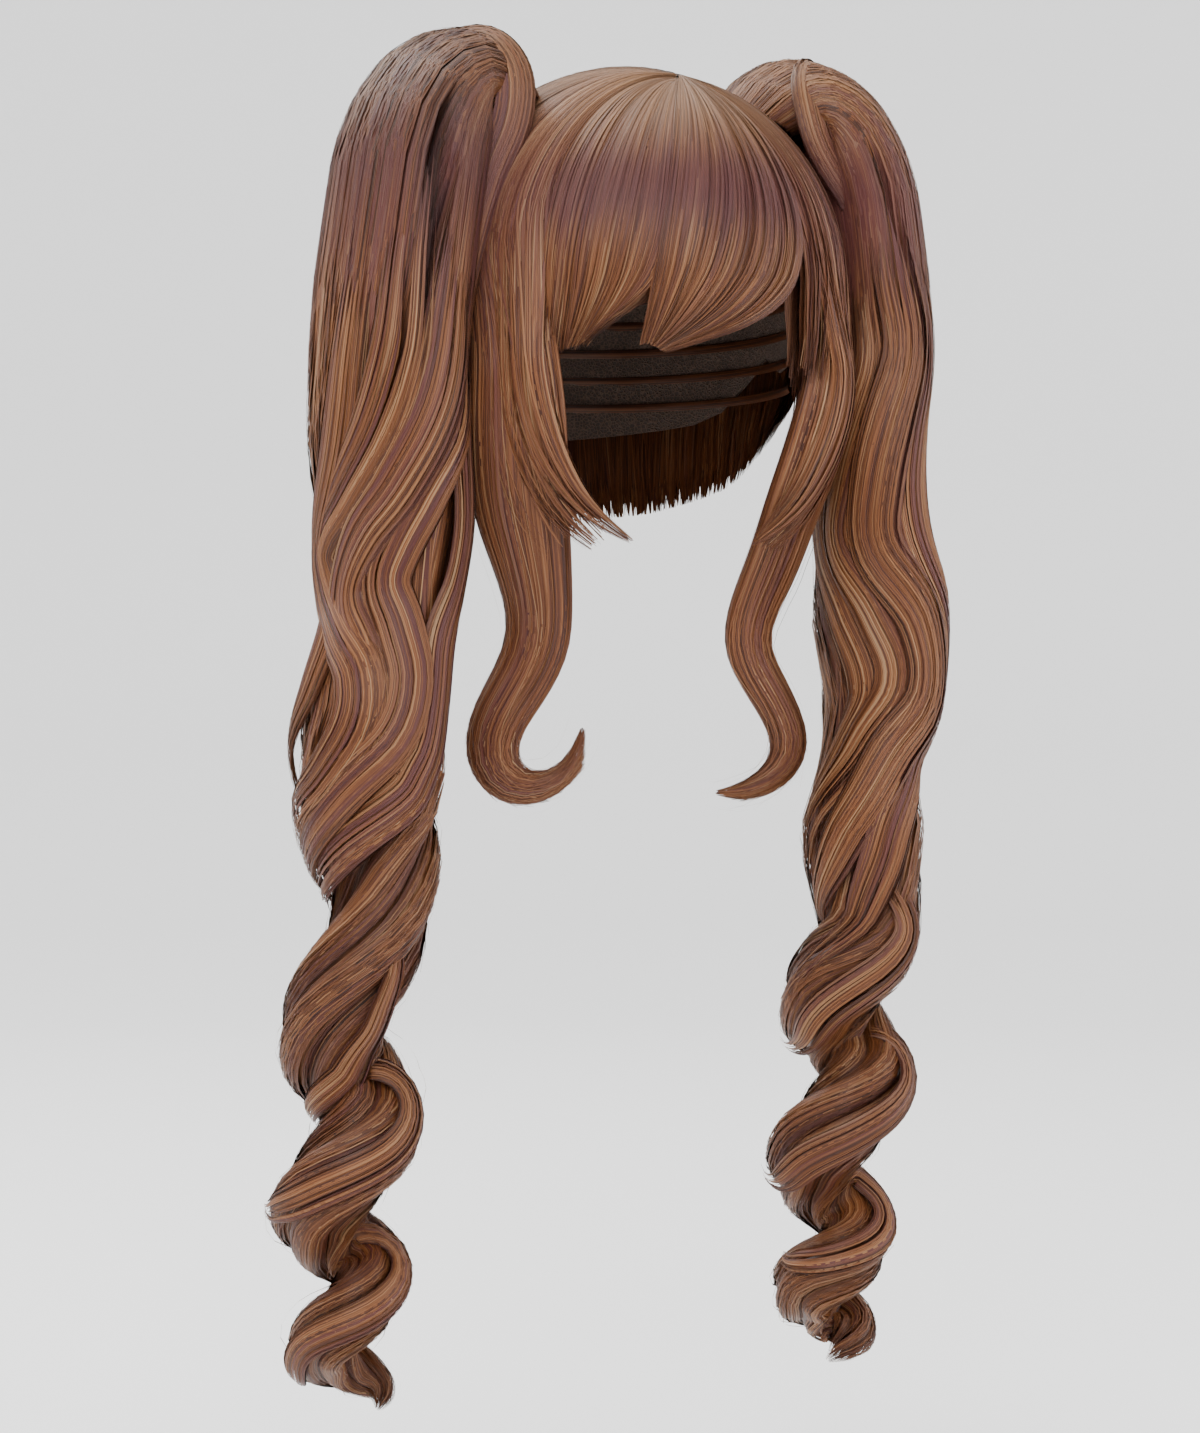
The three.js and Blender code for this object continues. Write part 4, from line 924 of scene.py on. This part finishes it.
def hair_piece(name, locks, fine, cores, material, tint, nodes):
    """One piece of hair: arched ribbons, fine strands and the filling under them, dark with painted shade, joined into
    one mesh.
    """
    lock_count = sum(len(g["spots"]) for g in locks)
    fine_count = sum(len(g["spots"]) for g in fine)
    strips = lock_count + fine_count + len(cores)
    half_strip = 0.46 / math.ceil(strips / ATLAS_ROWS)
    broad = guide_object(name, locks, 0, strips, tint)
    run_tree(RIBBONS, broad, points_across=3, arch=0.25, strip_half_width=half_strip, finish=material)
    thin = guide_object(name + "_fine", fine, lock_count, strips, tint)
    run_tree(RIBBONS, thin, points_across=2, arch=0.0, strip_half_width=half_strip, finish=material)
    parts = [thin]
    if cores:
        parts.append(core_object(name + "_core", cores, lock_count + fine_count, strips, tint, material))
    with bpy.context.temp_override(active_object=broad, object=broad, selected_objects=[broad, *parts],
                                   selected_editable_objects=[broad, *parts]):
        bpy.ops.object.join()
    broad.name = name
    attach(broad, "root")
    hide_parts(*nodes)
    return broad


# Finishes

def new_material(name):
    material = bpy.data.materials.new(name)
    material.use_nodes = True
    board = Board(material.node_tree)
    return material, board, material.node_tree.nodes["Principled BSDF"]


def hair_finish(name):
    """Silky synthetic hair in caramel brown, with ash-gold and plum strands and mauve bands, a painted highlight of ash
    gold towards the top of the head and painted shade where strands lie deep.
    """
    material, board, shader = new_material(name)
    links = board.tree.links

    def carried(attribute):
        return board.add("ShaderNodeAttribute", attribute_name=attribute).outputs["Fac"]

    along, sideways, tone = carried("along"), carried("sideways"), carried("tone")
    mauve, painted_highlight, shade = carried("mauve"), carried("painted_highlight"), carried("shade")

    def streaks(grain):
        place = board.add("ShaderNodeCombineXYZ", {
            axis: board.maths("MULTIPLY", value, size)
            for axis, value, size in zip("XYZ", (sideways, along, tone), grain)})
        return board.add("ShaderNodeTexNoise", {"Vector": place, "Scale": 1, "Detail": 2})

    strand, band = streaks(STRAND_GRAIN), streaks(BAND_GRAIN)
    fine = board.add("ShaderNodeMapRange", {0: strand.outputs["Fac"], 1: 0.38, 2: 0.62})
    broad = board.add("ShaderNodeMapRange", {0: band.outputs["Fac"], 1: 0.3, 2: 0.7})
    mix = board.maths("ADD", board.maths("MULTIPLY", fine.outputs[0], 0.5),
                      board.maths("MULTIPLY", broad.outputs[0], 0.16))
    lifted = board.maths("ADD", mix, board.maths("MULTIPLY", tone, 0.42))
    ramp = board.add("ShaderNodeValToRGB", {"Fac": lifted})
    set_ramp(ramp, [(0.14, DARK_BROWN), (0.34, CHESTNUT), (0.54, CARAMEL), (0.72, LIGHT_CARAMEL), (0.9, ASH_GOLD_AND_HIGHLIGHT)])
    mauve_tint = board.add("ShaderNodeMix", {0: board.maths("MULTIPLY", mauve, 0.82), 6: ramp.outputs["Color"],
                                            7: MAUVE}, data_type="RGBA", blend_type="MIX")
    # Painted highlight: strands towards the top of the head are mixed towards ash gold, as if lit from above.
    highlighted = board.add("ShaderNodeMix", {0: board.maths("MULTIPLY", painted_highlight, 0.6), 6: mauve_tint.outputs[2],
                                        7: ASH_GOLD_AND_HIGHLIGHT}, data_type="RGBA", blend_type="MIX")
    # Painted shade: strands that lie deep, in partings, under locks and in the filling are darkened.
    deep = board.maths("SUBTRACT", 1, board.maths("MULTIPLY", board.maths("MINIMUM", shade, 1), 0.75))
    deeper = board.add("ShaderNodeCombineColor", {0: deep, 1: board.maths("POWER", deep, 1.15),
                                                  2: board.maths("POWER", deep, 1.2)})
    shaded = board.add("ShaderNodeMix", {0: 1.0, 6: highlighted.outputs[2], 7: deeper.outputs[0]},
                       data_type="RGBA", blend_type="MULTIPLY")
    links.new(shaded.outputs[2], shader.inputs["Base Color"])
    rough = board.add("ShaderNodeMapRange", {0: strand.outputs["Fac"], 3: 0.36, 4: 0.56})
    links.new(rough.outputs[0], shader.inputs["Roughness"])
    bump = board.add("ShaderNodeBump", {"Height": strand.outputs["Fac"], "Strength": 0.8, "Distance": 0.0005})
    links.new(bump.outputs[0], shader.inputs["Normal"])
    tangent = board.add("ShaderNodeTangent", direction_type="UV_MAP", uv_map="OFBake")
    links.new(tangent.outputs[0], shader.inputs["Tangent"])
    shader.inputs["Anisotropic"].default_value = 0.75
    shader.inputs["Specular IOR Level"].default_value = 0.24
    return material


def set_ramp(node, stops):
    ramp = node.color_ramp
    while len(ramp.elements) < len(stops):
        ramp.elements.new(0.5)
    for element, (place, colour) in zip(ramp.elements, stops):
        element.position = place
        element.color = colour


def net_finish():
    """Fine knitted net with dark threads."""
    material, board, shader = new_material("cap_net")
    coords = board.add("ShaderNodeTexCoord").outputs["Object"]
    cells = board.add("ShaderNodeTexVoronoi", {"Vector": coords, "Scale": 620}, feature="DISTANCE_TO_EDGE")
    thread = board.add("ShaderNodeMapRange", {0: cells.outputs["Distance"], 1: 0.04, 2: 0.16, 3: 1, 4: 0})
    tint = board.add("ShaderNodeMix", {0: thread.outputs[0], 6: NET_BROWN, 7: TAPE_BROWN}, data_type="RGBA")
    board.tree.links.new(tint.outputs[2], shader.inputs["Base Color"])
    bump = board.add("ShaderNodeBump", {"Height": thread.outputs[0], "Strength": 0.6, "Distance": 0.0004})
    board.tree.links.new(bump.outputs[0], shader.inputs["Normal"])
    shader.inputs["Roughness"].default_value = 0.75
    return material


def clip_finish():
    material, board, shader = new_material("clip_plastic")
    coords = board.add("ShaderNodeTexCoord").outputs["Object"]
    grain = board.add("ShaderNodeTexNoise", {"Vector": coords, "Scale": 900, "Detail": 3})
    tint = board.add("ShaderNodeMix", {0: grain.outputs["Fac"], 6: CLIP_BROWN, 7: NET_BROWN}, data_type="RGBA")
    board.tree.links.new(tint.outputs[2], shader.inputs["Base Color"])
    rough = board.add("ShaderNodeMapRange", {0: grain.outputs["Fac"], 3: 0.35, 4: 0.5})
    board.tree.links.new(rough.outputs[0], shader.inputs["Roughness"])
    return material


def studio_finish():
    material, board, shader = new_material("studio_floor")
    shader.inputs["Base Color"].default_value = STUDIO_WHITE
    shader.inputs["Roughness"].default_value = 0.9
    return material


def bell(value, middle, reach):
    return np.exp(-((value - middle) / reach) ** 2)


# The mauve band and plum strands of a pigtail, and a painted highlight on its lighter strands near its top
def tail_tint_and_highlight(spots, tone, plum):
    z = spots[:, 2]
    mauve = 0.95 * bell(z, -0.056, 0.034) * smooth_step(0.05, 0.4, tone) + 0.9 * plum
    return np.clip(mauve, 0, 1), 0.6 * bell(z, 0.014, 0.03) * smooth_step(0.1, 0.6, tone)


# The mauve band and plum strands of the crown, and a painted highlight over the top of the head
def crown_tint_and_highlight(spots, tone, plum):
    z = spots[:, 2]
    return np.clip(0.3 * bell(z, -0.06, 0.03) + 0.6 * plum, 0, 1), 0.85 * bell(z, 0.006, 0.026)


# The mauve band and plum strands of the bangs, and a painted highlight near their top
def bangs_tint_and_highlight(spots, tone, plum):
    z = spots[:, 2]
    mauve = 1.4 * bell(z, -0.058, 0.019) * (0.6 + 0.4 * tone) + 0.5 * plum
    return np.clip(mauve, 0, 1), 1.0 * bell(z, -0.004, 0.028)


# The mauve and plum of the side hair, and a painted highlight near its top
def side_tint_and_highlight(spots, tone, plum):
    z = spots[:, 2]
    return np.clip(0.12 + 0.5 * bell(z, -0.06, 0.03) + 0.7 * plum, 0, 1), 0.85 * bell(z, 0.004, 0.03)


def arch_lock_frames(side, table, samples=160):
    """The frames of the lock that falls from a pigtail's arch in front of its clip."""
    place = np.linspace(0, 1, samples)
    out, fore, down, half, deep_half = curve_through(table, place).T * MM
    centre = np.stack([side * out, -fore, -down], axis=-1)
    return lock_along(place, down, centre, np.array([side * 0.3, -0.95, 0.3]), half, deep_half)


def dress_back(hair, rng):
    """The crown and the back hair: broad and fine strands outside, fuller ones and a lining under them, darkened with
    painted shade.
    """
    back = hanging(SIDE_LEFT, 360 + SIDE_RIGHT, NAPE_ENDS, BACK_DROP, locks=9, bands=90, nape=True)
    hair_piece(
        "crown_and_back_hair",
        [curtain_strands(back, 480, 26, rng, (1.2, 2.4), clumps=31, pull=0.25, shorter=0.06, tip=0.1, starts=0.03),
         curtain_strands(back, 260, 26, rng, (2, 3), clumps=31, pull=0.2, layers=(0.1, 0.45), shorter=0.04,
                         tip=0.08)],
        [curtain_strands(back, 800, 26, rng, (0.5, 1.2), layers=(0.9, 1.08), clumps=31, pull=0.3,
                         shorter=0.04, tip=0.12, starts=0.05),
         curtain_strands(back, 300, 26, rng, (0.5, 1.1), layers=(-0.05, 0.2), clumps=31, pull=0.3,
                         shorter=0.04, tip=0.12)],
        [], hair, crown_tint_and_highlight, ("crown_hair", "back_hair"))


def dress_bangs(hair, rng):
    """The bangs, in two halves that lap at the notch."""
    right = hanging(BANGS_RIGHT, BANGS_NOTCH + BANGS_LAP, BANGS_RIGHT_ENDS, BANGS_DROP, locks=3, bands=26,
                    shade=BANGS_SHADE)
    left = hanging(BANGS_NOTCH, BANGS_LEFT, BANGS_LEFT_ENDS, BANGS_DROP, locks=4, bands=34, lift=BANGS_LIFT,
                   shade=BANGS_SHADE)
    hair_piece(
        "bangs_hair",
        [curtain_strands(right, 190, 30, rng, (0.9, 2.0), clumps=23, pull=0.4, layers=(0.5, 1), shorter=0.22),
         curtain_strands(right, 36, 30, rng, (3, 3.6), clumps=11, pull=0, layers=(0.2, 0.35), shorter=0.25),
         curtain_strands(left, 260, 30, rng, (0.9, 2.0), clumps=31, pull=0.4, layers=(0.5, 1), shorter=0.26),
         curtain_strands(left, 48, 30, rng, (3, 3.6), clumps=14, pull=0, layers=(0.2, 0.35), shorter=0.3)],
        [curtain_strands(right, 420, 30, rng, (0.3, 0.7), clumps=23, pull=0.3, layers=(0.85, 1.08), shorter=0.1),
         curtain_strands(left, 560, 30, rng, (0.3, 0.7), clumps=31, pull=0.3, layers=(0.85, 1.08), shorter=0.1)],
        [], hair, bangs_tint_and_highlight, ("bangs",))


def dress_sides(hair, rng):
    """The hair at each temple with its curled lock and cheek wisp, and the strands over its seam with the back."""
    for name, side, table, start, stop in (("right", -1, LOCK_RIGHT, BANGS_RIGHT, SIDE_RIGHT),
                                           ("left", 1, LOCK_LEFT, BANGS_LEFT, SIDE_LEFT)):
        curtain = hanging(start, stop, SIDE_ENDS, SIDE_DROP, locks=3, bands=24, shade=SIDE_SHADE)
        seam = hanging(stop - side * SEAM_FORWARD, stop + side * SEAM_BACKWARD, SEAM_ENDS, SIDE_DROP, locks=0,
                       bands=18, shade=SIDE_SHADE)
        lock = lock_frames(side, table)
        wisps = [(lock_frames(side, cheek_sheet(table, share)), 0.32 - 0.2 * share) for share in (0.35, 0.7, 1)]
        hair_piece(
            f"side_hair_{name}",
            [curtain_strands(curtain, 130, 24, rng, (1.5, 2.8), clumps=10, pull=0.4, layers=(0.6, 1)),
             curtain_strands(curtain, 36, 24, rng, (4, 5), clumps=10, pull=0, layers=(0.15, 0.3)),
             side_lock_strands(side, curtain, lock, 150, 52, rng, (1.3, 2.6), skin=(0.7, 0.95)),
             *(side_lock_strands(side, curtain, wisp, 30, 36, rng, (0.9, 1.7), first=0.2,
                                 middle=middle, spread=0.1) for wisp, middle in wisps)],
            [curtain_strands(curtain, 200, 24, rng, (0.4, 0.9), clumps=10, pull=0.4, layers=(0.9, 1.08)),
             curtain_strands(seam, 80, 22, rng, (0.6, 1.3), clumps=6, pull=0.1, layers=(1.0, 1.06),
                             starts=0.02, shorter=0.5, tip=0.35, ripple=0),
             side_lock_strands(side, curtain, lock, 330, 52, rng, (0.45, 1.0), skin=(0.88, 1.06)),
             *(side_lock_strands(side, curtain, wisp, 50, 36, rng, (0.3, 0.7), first=0.2,
                                 skin=(0.9, 1.1), middle=middle, spread=0.1) for wisp, middle in wisps),
             side_lock_strands(side, curtain, lock, 12, 52, rng, (0.15, 0.2), skin=(1, 1.2), stray=0.004)],
            [lock_core(lock)], hair, side_tint_and_highlight, (f"side_lock_{name}",))


def dress_pigtails(hair, rng):
    """Each pigtail with the lock at its arch, the locks that lie over it and the ones that hook out of its curls."""
    for name, side, table, over, hooks, arch_table in (
            ("right", -1, TAIL_RIGHT, OVER_RIGHT, HOOKS_RIGHT, ARCH_RIGHT),
            ("left", 1, TAIL_LEFT, OVER_LEFT, HOOKS_LEFT, ARCH_LEFT)):
        frames = tail_frames(side, table)
        arch = arch_lock_frames(side, arch_table)
        locks = [tail_strands(side, frames, 110, 66, rng, (1.6, 3.0), skin=(0.75, 0.9)),
                 lock_strands(arch, 46, 32, rng, (1.2, 2.4), skin=(0.7, 0.9))]
        fine = [tail_strands(side, frames, 580, 66, rng, (0.5, 1.2), skin=(0.86, 1.02)),
                tail_strands(side, frames, 120, 66, rng, (0.22, 0.4), skin=(0.98, 1.06)),
                tail_strands(side, frames, 26, 66, rng, (0.15, 0.2), skin=(1.0, 1.1), stray=0.14),
                lock_strands(arch, 130, 32, rng, (0.4, 0.9), skin=(0.9, 1.04))]
        for rows in over:
            lock = over_lock_frames(side, frames, rows)
            locks.append(lock_strands(lock, 20, 38, rng, (1.2, 2.2), skin=(0.6, 0.9), first=0.22,
                                      last=(0.8, 1)))
            fine.append(lock_strands(lock, 76, 38, rng, (0.35, 0.9), skin=(0.85, 1.05), first=0.22,
                                     last=(0.8, 1)))
        for rows in hooks:
            lock = over_lock_frames(side, frames, rows)
            locks.append(lock_strands(lock, 10, 26, rng, (1.0, 1.8), skin=(0.6, 0.9), first=0.12,
                                      last=(0.75, 1)))
            fine.append(lock_strands(lock, 40, 26, rng, (0.35, 0.8), skin=(0.85, 1.05), first=0.12,
                                     last=(0.75, 1)))
        hair_piece(f"pigtail_hair_{name}", locks, fine, tail_cores(side, frames), hair, tail_tint_and_highlight,
                   (f"pigtail_{name}",))


def dress():
    """All the hair, the net of the cap and the plastic of the clips."""
    hair = hair_finish("silky_hair")
    rng = np.random.default_rng(SEED)
    dress_back(hair, rng)
    dress_bangs(hair, rng)
    dress_sides(hair, rng)
    dress_pigtails(hair, rng)
    net = net_finish()
    weft_rows(hair)
    finish_node("wig_cap", net)
    clip = clip_finish()
    for name in ("right", "left"):
        finish_node(f"pigtail_clip_{name}", clip)


# The rows of wefts: how deep each lies under the top, and how far inside the head form's surface
WEFT_DEPTHS = [0.03, 0.043, 0.056, 0.069, 0.082, 0.095, 0.108, 0.121, 0.134]
WEFT_INSET = (-0.0016, -0.0016, -0.0016)
WEFT_HALF_WIDTH = 0.002
# How much painted shade darkens the wefts inside the cap, and their tone
WEFT_SHADE = 0.55
WEFT_TONE = 0.2
WEFT_REACH = 18


def weft_rows(material):
    """Stitched rows of wefts that run round the inside of the cap."""
    rows = np.array(WEFT_DEPTHS)
    bearing = np.linspace(SIDE_LEFT - WEFT_REACH, 360 + SIDE_RIGHT + WEFT_REACH, 60)[None, :] + np.zeros((len(rows), 1))
    travel = travel_at_depth(bearing, rows[:, None] + np.zeros_like(bearing))
    spots = dome_point(WEFT_INSET, bearing, travel)
    inward = unit(spots - dome_point(SEAT, bearing, travel))
    bands = (np.full(len(rows), WEFT_TONE), np.zeros(len(rows)))
    lines = strands(spots, inward, WEFT_HALF_WIDTH, np.full(len(rows), WEFT_SHADE), bands)
    wefts = guide_object("cap_wefts", [lines], 0, len(rows), crown_tint_and_highlight)
    run_tree(RIBBONS, wefts, points_across=4, arch=0.35, strip_half_width=0.1, finish=material)
    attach(wefts, "root")


def finish_node(name, material):
    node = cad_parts[name]
    for slot in node.material_slots:
        slot.material = material


def place_camera():
    camera = bpy.data.cameras.new("camera")
    camera.lens = LENS
    camera.sensor_width = SENSOR
    camera.clip_end = FAR_END
    view = new_object("camera", camera)
    view.location = CAMERA_PLACE
    view.rotation_euler = (math.radians(90), 0, math.radians(CAMERA_TURN))
    bpy.context.scene.camera = view


def studio():
    """A pale floor that rises at its rim, with soft lights over it."""
    sides = FLOOR_SIDES
    verts = [(0, 0, FLOOR)]
    faces = []
    for radius, height in FLOOR_RINGS[1:]:
        for side in range(sides):
            turn = 2 * math.pi * side / sides
            verts.append((radius * math.cos(turn), radius * math.sin(turn), FLOOR + height))
    for side in range(sides):
        faces.append((0, 1 + side, 1 + (side + 1) % sides))
        for ring in range(len(FLOOR_RINGS) - 2):
            a, b = 1 + ring * sides, 1 + (ring + 1) * sides
            faces.append((a + side, b + side, b + (side + 1) % sides, a + (side + 1) % sides))
    mesh = bpy.data.meshes.new("floor")
    mesh.from_pydata(verts, [], faces)
    mesh.polygons.foreach_set("use_smooth", [True] * len(mesh.polygons))
    mesh.materials.append(studio_finish())
    floor = new_object("floor", mesh)

    world = bpy.data.worlds.new("studio")
    world.use_nodes = True
    world.node_tree.nodes["Background"].inputs["Color"].default_value = (1, 1, 1, 1)
    world.node_tree.nodes["Background"].inputs["Strength"].default_value = WORLD_STRENGTH
    bpy.context.scene.world = world
    for name, place, size, power in LIGHTS:
        light = bpy.data.lights.new(name, "AREA")
        light.shape = "DISK"
        light.size = size
        light.energy = power
        lamp = new_object(name, light)
        lamp.location = place
        lamp.rotation_euler = (Vector(LIGHTS_FACE) - Vector(place)).to_track_quat("-Z", "Y").to_euler()
        lamp.visible_camera = False


place_camera()
studio()
dress()
